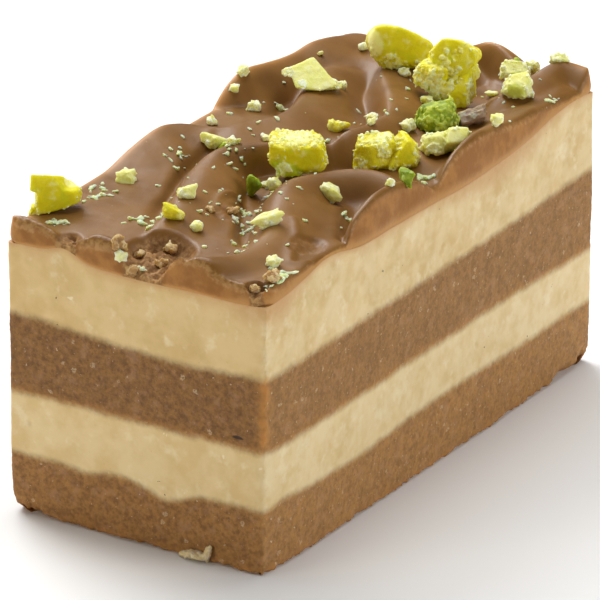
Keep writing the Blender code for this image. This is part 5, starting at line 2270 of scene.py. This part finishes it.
NUTS = (
    ChoppedNut("pistachio_left", Crumble.YELLOW, (-13.3, -25), 1.5, (
        Lump((-0.9, 0, 0.3), (
            (0.05, -1, 0.15, 1.5), (-1, -0.1, 0, 1.05), (0, 0.42, 0.92, 1.47), (0.75, -0.25, 0.6, 2.05),
            (0.6, 0.4, 0.7, 2.15), (1, 0, 0, 2.4), (0, 1, 0, 1.7), (0.3, 0, -0.95, 1.7), (0, 0, -1, 1.8),
        )),
        Lump((-1.6, -0.1, 1.4), (
            (0.05, -1, 0.15, 1.25), (-1, 0, 0.1, 0.85), (0, 0.42, 0.92, 0.55), (1, 0, 0.2, 1),
            (-0.3, 0, -1, 0.75), (0, 1, 0, 1.4),
        )),
        Lump((1.1, 0, -0.1), (
            (0.05, -1, 0.15, 1.46), (0.14, 0, 1, 1.02), (0.7, 0.45, 0.6, 1.36), (1, -0.1, 0, 1.35),
            (0.3, 0, -0.95, 0.67), (0, 1, 0, 1.6), (-1, 0, 0, 1.5), (0.9, -0.5, 0.2, 1.5),
        )),
        Lump((-1.95, -0.9, -1.25), (
            (0, -1, 0.2, 0.55), (-1, 0, 0.2, 0.5), (0, 0, 1, 0.36), (1, 0, 0, 0.8), (0, 1, 0, 0.8),
            (0, 0, -1, 0.4),
        ), 9),
    ), (
        Coat((0.5, -0.6, -0.6), 0.8, 30, 0.22),
        Coat((-1, -0.5, -0.6), 0.8, 30, 0.26, (-2, -0.9, -1.2), 0.9), Coat((0.9, -0.2, 0), 0.85, 18, 0.22),
    ), Side((0.1, -0.2, -1), 0.55), pale=Side((0.75, 0.1, 0.65), 0.86)),
    ChoppedNut("pistachio_half_kernel", Crumble.YELLOW, (-3.4, 23.2), 1.95, (
        Lump((0, 0, 0), (
            (-0.12, -1, 0.3, 1.85), (0.35, -0.9, 0.1, 2.2), (-0.45, -0.85, -0.3, 2.15),
            (0.05, 0.35, 0.95, 2.3), (-1, -0.25, 0.1, 3.2), (0.42, 0.35, 0.8, 1.95),
            (-0.85, -0.25, -0.45, 2.75), (0, 0.1, -1, 1.95), (0, 1, 0.1, 2.2), (1, 0.1, 0, 3.4),
            (-0.7, 0.25, 0.7, 3.5), (0.1, -0.7, -0.7, 2.2),
        ), 12),
    ), (
        Coat((-0.3, -0.7, -0.65), 0.88, 50, 0.26),
        Coat((-0.05, -1, 0), 0.85, 34, 0.34, (-0.8, -1.7, -0.9), 1),
        Coat((0.3, -0.8, -0.5), 0.88, 26, 0.26), Coat((-0.8, -0.3, -0.5), 0.85, 30, 0.26),
    ), Side((0.1, -0.3, -1), 0.6), pale=Side((-1, -0.25, 0.25), 0.82), skin=Side((0.62, 0.45, 0.65), 0.9)),
    ChoppedNut("pistachio_largest", Crumble.YELLOW, (3.9, 20.2), 3.05, (
        Lump((0.5, 0.2, 1.7), (
            (-0.1, -0.9, 0.45, 1.55), (0.1, 0.39, 0.92, 1.75), (1, 0, 0.1, 1.9), (-1, -0.1, 0.2, 2.1),
            (-0.67, 0.29, 0.68, 1.95), (0.7, 0.27, 0.65, 2), (0, 0, -1, 2.3), (0, 1, 0, 1.7),
            (0.5, -0.85, 0.1, 1.75), (-0.7, -0.3, -0.6, 1.9), (0.1, -1, -0.2, 1.7),
        ), 18),
        Lump((1, -0.6, -1.8), (
            (0.05, -1, -0.05, 1.6), (-0.87, -0.2, -0.46, 0.95), (1, -0.35, 0, 1.4), (-0.3, -0.3, 0.9, 1.8),
            (0, 0.3, 1, 2.2), (0, 1, 0, 1.8), (0, 0, -1, 1.2), (-0.2, -0.8, 0.55, 1.66),
        ), 34),
        Lump((2.3, 0.3, 1.6), (
            (0.95, -0.3, 0.1, 0.95), (0.2, -0.95, 0.2, 1.1), (0.4, 0, 0.9, 1.05), (-1, 0, 0.2, 1.2),
            (0.5, -0.2, -0.85, 0.95), (0, 1, 0, 1),
        ), 9),
        Lump((-1.7, -0.6, 0.1), (
            (-0.6, -0.8, 0.1, 1.25), (-1, 0.1, 0.2, 1.45), (0.1, -1, -0.3, 1.3), (-0.4, -0.3, -0.9, 1.5),
            (0, -0.2, 1, 1.4), (1, 0, 0, 1.8), (0, 1, 0, 1.4), (-0.6, 0.2, 0.8, 1.45),
        ), 9),
        Lump((-0.5, -0.9, -1.5), (
            (-0.6, -0.7, 0, 1), (0, -1, 0, 1.05), (-0.6, -0.3, -0.8, 1.15), (0, 0, -1, 1.3), (0, 0, 1, 1.2),
            (1, 0, 0, 1.2), (0, 1, 0, 1.2), (-1, 0.2, 0, 1.2),
        ), 8),
    ), (
        Coat((-0.3, -0.9, 0.3), 0.7, 110, 0.38, (-0.2, -1.5, 0.2), 1.7),
        Coat((-0.6, -0.6, -0.5), 0.8, 150, 0.3),
        Coat((-0.6, -0.8, 0.1), 0.7, 60, 0.34, (-2.3, -1.6, 0.4), 1.3), Coat((-0.7, 0, 0.7), 0.8, 26, 0.3),
        Coat((1, -0.4, 0), 0.85, 90, 0.36, (2.4, -1.2, -1.4), 1.5), Coat((0.4, -0.5, 0.7), 0.8, 30, 0.3),
        Coat((0.1, -0.7, 0.7), 0.8, 34, 0.34, (0.5, -1.3, 2.4), 1.2),
        Coat((-0.3, -0.9, 0), 0.7, 70, 0.34, (-0.7, -1.9, -1.5), 1.1),
    ), Side((-0.6, -0.3, -0.75), 0.6), 0.09),
    ChoppedNut("pistachio_pale_slice", Crumble.PALE, (-8.3, 14.1), 1.35, (
        Lump((-0.1, 0, 0), (
            (0.05, -0.5, 0.87, 0.42), (-0.05, 0.5, -0.87, 0.5), (-0.41, 0.36, 0.84, 1.5),
            (0.77, 0.25, 0.59, 1.3), (-0.12, -0.39, -0.91, 1.7), (-0.92, -0.12, -0.28, 2),
            (0.3, -0.37, -0.88, 2),
        )),
        Lump((2, -0.35, -0.95), (
            (0.05, -0.5, 0.87, 0.4), (-0.05, 0.5, -0.87, 0.5), (0.5, 0.34, 0.8, 0.52),
            (0.1, -0.39, -0.91, 0.6), (-1, 0, 0, 1.4), (1, -0.1, -0.3, 1.05),
        )),
        Lump((-2.4, 0, 0.2), (
            (0.05, -0.5, 0.87, 0.36), (-0.05, 0.5, -0.87, 0.45), (-0.2, 0.38, 0.9, 0.35),
            (-0.2, -0.38, -0.9, 0.45), (-1, 0, 0, 0.7), (1, 0, 0, 1),
        )),
    ), (
        Coat((0, -0.5, 0.87), 0.9, 26, 0.3, (-2.6, 0, 0.3), 0.8), Coat((-0.1, -0.9, -0.3), 0.75, 50, 0.22),
        Coat((0.2, -0.6, 0.7), 0.9, 10, 0.25, (2.2, -0.6, -1), 0.7),
    ), Side((1, -0.2, -0.5), 0.82)),
    ChoppedNut("pistachio_cube", Crumble.YELLOW, (1.6, -4.4), 2.25, (
        Lump((0, 0, 0), (
            (0.02, -0.04, 1, 1.6), (0.12, -1, 0.03, 2.15), (-0.5, -0.9, -0.1, 2.5), (1, -0.1, 0.1, 2.65),
            (-1, 0.05, 0, 2.75), (0, 1, 0.1, 2.3), (0, 0, -1, 1.5), (0.15, -0.7, -0.72, 2.15),
            (-0.55, -0.4, -0.7, 2.35), (0.8, -0.65, -0.3, 2.75), (0.75, 0.55, 0.3, 3),
        ), 26),
        Lump((-0.9, -1.5, -0.9), (
            (0, -1, 0, 0.85), (-0.7, -0.6, 0.2, 0.95), (0.7, -0.6, 0.2, 1), (0, 0, 1, 0.75),
            (0, -0.3, -1, 0.75), (0, 1, 0, 1), (1, 0.3, 0, 1.2), (-1, 0, 0, 1.1),
        ), 10),
    ), (
        Coat((0, 0, 1), 0.85, 240, 0.42), Coat((-0.5, -0.9, -0.2), 0.9, 44, 0.26),
        Coat((-0.3, -0.9, 0.2), 0.85, 26, 0.36, (-1.4, -2, -0.4), 0.8),
        Coat((1, -0.2, -0.3), 0.85, 26, 0.34), Coat((0.1, -0.7, -0.7), 0.9, 30, 0.24),
        Coat((-1, 0, 0.2), 0.8, 50, 0.32),
    ), Side((-0.45, -0.6, -0.7), 0.5), 0.07, pale=Side((0, 0, 1), 0.75)),
    ChoppedNut("pistachio_middle", Crumble.YELLOW, (7.9, 1.9), 1.3, (
        Lump((-1, 0, 0), (
            (-0.55, -0.83, 0.15, 1.75), (0.35, -0.93, 0.15, 1.75), (-1, 0.1, 0.15, 2),
            (-0.15, -0.05, 1, 1.4), (0, 1, 0, 1.8), (0, 0, -1, 1.4), (1, 0.1, 0.4, 2.2),
            (0, -0.75, 0.7, 1.95), (0.1, -0.7, -0.7, 1.8),
        )),
        Lump((1.7, -0.1, 0.2), (
            (-0.75, -0.25, 0.55, 0.95), (1, -0.15, 0.12, 1.35), (0.2, 0, 1, 1.75),
            (0.12, -0.98, 0.12, 1.65), (0, 1, 0.1, 1.4), (0, 0, -1, 1.7), (-1, -0.1, 0, 1.5),
            (0.2, -0.75, -0.65, 1.75), (0.8, 0.2, 0.7, 1.5),
        )),
    ), (
        Coat((-0.1, -0.1, 1), 0.8, 110, 0.36, (-1.2, 0, 1.3), 1.9), Coat((-0.9, -0.3, 0.4), 0.8, 50, 0.32),
        Coat((0, -0.9, 0.5), 0.8, 30, 0.34, (-0.2, -1.6, 0.9), 0.9), Coat((1, -0.1, -0.1), 0.8, 70, 0.3),
        Coat((0.1, -0.7, -0.7), 0.8, 50, 0.28),
        Coat((-0.6, -0.7, -0.2), 0.85, 30, 0.3, (-2.4, -1, -0.8), 0.9),
    ), Side((0.1, -0.3, -1), 0.8), 0.08, pale=Side((-0.1, 0, 1), 0.8)),
    ChoppedNut("pistachio_green", Crumble.GREEN, (8, 11.8), 1.05, (
        Lump((0, 0, 0), (
            (0, -0.8, 0.6, 1.5), (-1, -0.3, 0.2, 1.7), (1, -0.15, 0.2, 1.75), (-0.2, 0, 1, 1.65),
            (-0.7, -0.5, 0.55, 1.6), (0.65, -0.55, 0.5, 1.65), (0, -1, -0.1, 1.5), (0, 1, 0.1, 1.6),
            (0, 0, -1, 1.1), (-0.6, -0.6, -0.5, 1.6), (0.6, -0.6, -0.5, 1.6),
        ), 9),
    ), (
        Coat((-0.8, -0.3, 0.4), 0.8, 40, 0.4), Coat((0, -0.7, 0.7), 0.75, 40, 0.36),
        Coat((0.6, -0.6, 0), 0.7, 40, 0.34), Coat((0, -0.8, -0.6), 0.7, 40, 0.34),
    ), Side((0.1, -0.5, -0.85), 0.45), 0.1),
    ChoppedNut("pistachio_pale_pair", Crumble.PALE, (11.6, 7.2), 1.1, (
        Lump((-1.1, 0, -0.25), (
            (0, -0.85, 0.5, 1), (-1, -0.2, 0.1, 1.15), (0.9, -0.3, 0.2, 1.2), (-0.2, 0.1, 1, 1.05),
            (-0.6, -0.6, 0.5, 1.1), (0, 1, 0, 1), (0, -0.3, -1, 0.9), (-0.6, -0.5, -0.6, 1.1),
        ), 10),
        Lump((1.2, 0.2, 0.3), (
            (0.15, -0.6, 0.78, 0.85), (1, -0.1, 0.15, 1.15), (-1, 0, 0.3, 1.1), (0, 0.3, 1, 1.1),
            (0.2, -0.9, -0.4, 1.05), (0, 1, 0, 1), (0, 0, -1, 1.1), (0.7, 0.3, -0.6, 1.1),
        )),
    ), (
        Coat((0, -0.9, 0.3), 0.8, 50, 0.36, (-1.1, -1, -0.6), 0.8), Coat((0, 0, 1), 0.8, 22, 0.3),
        Coat((0.9, -0.2, 0.3), 0.8, 16, 0.3), Coat((-0.8, -0.4, -0.3), 0.8, 30, 0.34),
    ), Side((0.3, -0.6, -0.7), 0.7)),
    ChoppedNut("pistachio_right_front", Crumble.PALE, (11.3, 21.9), 1, (
        Lump((0, 0, 0), (
            (-0.1, -0.55, 0.83, 0.95), (-0.3, -0.95, 0, 1.05), (0.75, -0.6, 0.2, 1.15), (-1, 0, 0.2, 1.35),
            (0, 1, 0.3, 1), (0, -0.35, -1, 0.95), (1, 0.2, 0.2, 1.35), (-0.7, -0.2, 0.65, 1.15),
            (-0.6, -0.4, -0.7, 1.2),
        )),
    ), (
        Coat((0.9, -0.3, 0.4), 0.7, 40, 0.4), Coat((-0.2, -0.6, -0.7), 0.7, 30, 0.35),
        Coat((-0.9, 0, 0.4), 0.7, 24, 0.4),
    ), Side((-0.2, -0.9, 0), 0.5), 0.1),
    ChoppedNut("pistachio_right_back", Crumble.PALE, (7.6, 27.6), 0.9, (
        Lump((0, 0, 0), (
            (0, -0.5, 0.85, 0.7), (-0.1, -1, -0.1, 0.85), (1, -0.1, 0.1, 1.35), (-1, 0, 0.3, 1.3),
            (0, 1, 0.3, 1), (0, 0, -1, 0.95), (-0.6, -0.2, -0.75, 1.1), (0.5, 0.1, 0.8, 1.1),
        )),
    ), (
        Coat((1, 0, 0.3), 0.7, 40, 0.42), Coat((0, -0.2, -1), 0.7, 10, 0.3),
        Coat((-1, 0, 0.2), 0.7, 30, 0.4),
    ), Side((0.2, -0.9, -0.3), 0.4), 0.1),
)
SMALL_BITS: dict[str, tuple[Crumble, tuple[Bit, ...]]] = {
    "pale_bits": (
        Crumble.PALE,
        (
            Bit(-6.3, 16.6, (1.1, 0.9, 0.9), 16), Bit(-10.2, 26.9, (1.1, 0.9, 1), 5),
            Bit(-1.7, 21, (1.4, 0.9, 0.9), 16), Bit(-0.4, 13.2, (1.9, 1.5, 1.3), 34),
            Bit(3.2, 6.8, (0.8, 0.7, 0.7), 8), Bit(5.7, 9.9, (1.9, 1.5, 1.3), 34),
            Bit(1.4, -8.3, (1.8, 1.7, 1.4), 8), Bit(12.4, -25.9, (2, 1.2, 1), 30),
            Bit(-2.7, -18.1, (1.9, 1.6, 1.4), 9, 20), Bit(-11.9, -14.9, (2.2, 1.6, 1.4), 12, -15),
            Bit(-11.2, 7.8, (1.5, 1.4, 1.3), 22), Bit(-14.2, 10.3, (1.3, 1.2, 1.2), 20),
            Bit(-13.9, 8.3, (1, 1, 0.8), 10), Bit(-12.6, 1.9, (1.3, 1.1, 1), 18),
            Bit(-12.4, 22.2, (0.6, 0.6, 0.5)), Bit(14.5, 12.3, (1.6, 1.5, 1.5), 14),
            Bit(6.5, 24.9, (1.8, 1.2, 0.7), turn=-10), Bit(8.3, 30.1, (1.5, 1.2, 1.5), 30),
            Bit(11.2, 30, (2.2, 1.4, 1.1), 36), Bit(7.7, -8.3, (3, 1.5, 1.3), 8, -28, 12),
            Bit(7.6, -19.7, (2.8, 1.7, 1.5), 10, 30, -14), Bit(-0.8, -6.3, (1.3, 0.9, 0.7), 5),
            Bit(14.4, -7.9, (0.9, 0.8, 0.8), 8), Bit(-9, -3.6, (1.8, 1.5, 1.5), 12),
            Bit(-6, -4.6, (1.5, 1, 0.8), 16), Bit(-5.1, 0.3, (0.8, 0.8, 0.6), 8),
            Bit(5, 24, (1.3, 0.5, 2.3), turn=0, tilt=-25, lift=1.3), Bit(1.4, -22.5, (1.3, 1.2, 1), 14),
            Bit(-1.6, -31.3, (1.2, 0.8, 1.2), 18, lift=0),
        ),
    ),
    "yellow_bits": (
        Crumble.YELLOW,
        (
            Bit(-1.1, 7.2, (2.2, 1.3, 1.2), 10, -10), Bit(-1.3, -22.6, (2.5, 1.6, 1.7), 4, -12, 12),
            Bit(3.6, 17, (1.7, 1.2, 1.1), 30),
        ),
    ),
    "green_bits": (
        Crumble.GREEN,
        (
            Bit(-0.9, -8.9, (0.9, 2.4, 2), 8, 15, 20, 0.45),
            Bit(14.2, -5, (0.9, 2.2, 1.4), 6, 25, 25, 0.45),
            Bit(-7.4, -3.8, (1.4, 1.1, 1.2), 3, 20, 0, 0.4), Bit(-2.2, 2, (0.9, 0.7, 0.7), 3),
            Bit(7, 28.9, (0.9, 0.7, 0.8)),
        ),
    ),
    "skin_bits": (
        Crumble.SKIN,
        (Bit(10.1, 15.1, (3.3, 2, 1.5), 14, 8, -14, 0.5), Bit(3.2, 26.6, (1.8, 1.2, 1.6), 6, -15, 0, 1)),
    ),
    "chocolate_crumbs": (
        Crumble.CHOCOLATE,
        (
            Bit(14.1, -28.9, (1.8, 1.6, 1.5), 40), Bit(-2.1, -30.8, (1.3, 1.2, 1.6), 34, lift=0.3),
            Bit(-0.5, -31, (1.3, 1, 1.5), 26, lift=0.2), Bit(1.4, -28.6, (1.6, 1.2, 0.8), 24),
            Bit(3.8, -29.6, (1.2, 1.4, 0.9), 22), Bit(-1.6, -28, (1.2, 1.2, 0.8), 18),
            Bit(0.6, -26, (1.6, 1, 0.8), 18), Bit(13, -30.4, (1, 0.8, 0.8), 12),
            Bit(1.6, -16.4, (1.6, 1.4, 0.5), 20), Bit(0.4, -18.4, (1.2, 1, 0.5), 12),
        ),
    ),
}
FOOT_FLAKES = (
    Bit(5.6, -31.35, (1.7, 1, 0.6), 6, -FRONT_TURN, -10, 0.8),
    Bit(7, -31.45, (1.9, 1, 0.9), 10, -FRONT_TURN, 8, 0.8),
    Bit(8.2, -31.4, (1, 0.8, 1.6), 8, -FRONT_TURN, 24, 0.75),
    Bit(6.3, -31.5, (1.3, 0.8, 0.45), 6, -FRONT_TURN, 0, 0.8),
)
DUST_FIELDS = (
    DustField(3.4, -17.1, 0.9, 1.6, 26, 0.4), DustField(1, -13.4, 1, 1.4, 10, 0.45),
    DustField(-12.2, -19.2, 1.2, 2, 22, 0.4), DustField(-11.2, -28.2, 0.9, 0.8, 22, 0.4),
    DustField(-4, -22.8, 2, 2, 14, 0.5), DustField(-10.1, -7.5, 1.2, 1.6, 12, 0.45),
    DustField(-5, -6, 2, 2, 10, 0.45), DustField(11.1, -9.9, 0.7, 1, 12, 0.4),
    DustField(-0.6, -30.4, 1, 0.6, 14, 0.4), DustField(14.2, -28.2, 0.8, 1.6, 26, 0.45),
    DustField(13.4, 0.7, 0.9, 0.9, 7, 0.5), DustField(14.6, 23.5, 0.5, 0.7, 10, 0.4),
    DustField(0, -14, 8, 9, 60, 0.36), DustField(-3, 6, 8, 11, 45, 0.36), DustField(6, 20, 6, 8, 24, 0.36),
    DustField(7, -24, 4, 3, 14, 0.36),
)

def scattered_dust(patches: Sequence[DustField], seed: int = 5) -> list[Bit]:
    """Fine crumbs over the patches.

    Args:
        patches: Where they lie.
        seed: Which of the possible scatters it is.

    Returns:
        The crumbs.
    """
    draw = np.random.default_rng(seed)
    return [bit for patch in patches for bit in patch.scatter(draw)]


def flat(x: Array, y: Array) -> Array:
    """The floor's height at these places."""
    return np.zeros_like(x)


def build_block(footprint: Footprint) -> CutFaces:
    """Makes the four nougat layers.

    Args:
        footprint: The slice seen from above.

    Returns:
        The faces that the layers show.
    """
    faces = CutFaces(footprint, BASE_TOP, LOWER_CREAM_TOP, MIDDLE_TOP, UPPER_CREAM_TOP, TOPPING_LEVEL, PITS)
    brown = CutNougat("brown_nougat")
    # Painted floor-bounce light: the base layer's brown and the lower cream are lighter copies of the brown
    # and the cream above them.
    floor_lit_brown = CutNougat("brown_nougat_base", brown=(0.375, 0.173, 0.037), brown_dark=(0.19, 0.081, 0.016))
    cream = CutNougat("cream_nougat", cream=(0.7, 0.505, 0.226))
    floor_lit_cream = CutNougat("cream_nougat_low", cream=(0.74, 0.56, 0.282), cream_deep=(0.655, 0.46, 0.19))
    layers = (
        (NougatLayer("base_nougat", "brown_nougat", faces, flat, BASE_TOP.at), floor_lit_brown),
        (NougatLayer("lower_cream", "cream_nougat", faces, BASE_TOP.at, LOWER_CREAM_TOP.at), floor_lit_cream),
        (NougatLayer("middle_nougat", "brown_nougat", faces, LOWER_CREAM_TOP.at, MIDDLE_TOP.at), brown),
        (NougatLayer("upper_cream", "cream_nougat", faces, MIDDLE_TOP.at, UPPER_CREAM_TOP.at), cream),
    )
    for layer, finish in layers:
        layer.build(finish.make())
    return faces


def build_nuts(ground: Ground) -> None:
    """Makes the large and the small pieces of nut, the crumbs and the flakes.

    Args:
        ground: The height of the chocolate that they lie on.
    """
    materials = {kind: finish.make() for kind, finish in CRUMBLY.items()}
    for nut in NUTS:
        nut.build(materials[nut.kind], ground)
    for number, (name, (kind, bits)) in enumerate(SMALL_BITS.items()):
        Bits(name, kind, bits, ground, seed=number).build(materials[kind])
    dust = Bits("nut_crumbs", Crumble.DUST, scattered_dust(DUST_FIELDS), ground, seed=20, cell=0.085)
    dust.build(materials[Crumble.DUST])
    flakes = Bits("cream_flakes", Crumble.CREAM, FOOT_FLAKES, flat, seed=30)
    flakes.build(materials[Crumble.CREAM])


def main() -> None:
    """Builds the slice and the studio round it."""
    logging.basicConfig(level=logging.INFO, format="%(message)s")
    low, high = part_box("upper_cream")
    width, length = PER_MM * (high.x - low.x), PER_MM * (high.y - low.y)
    faces = build_block(Footprint(width, length))
    plan = Footprint(width, length, corner=1.6)
    topping = Topping(faces, plan, TOPPING_LEVEL, TOPPING_SWELLS, FOLDS, GROOVES, FLAPS, TEARS)
    topping.build(MilkChocolate().make())
    build_nuts(topping.height)
    Studio().build()


if __name__ == "__main__":
    main()
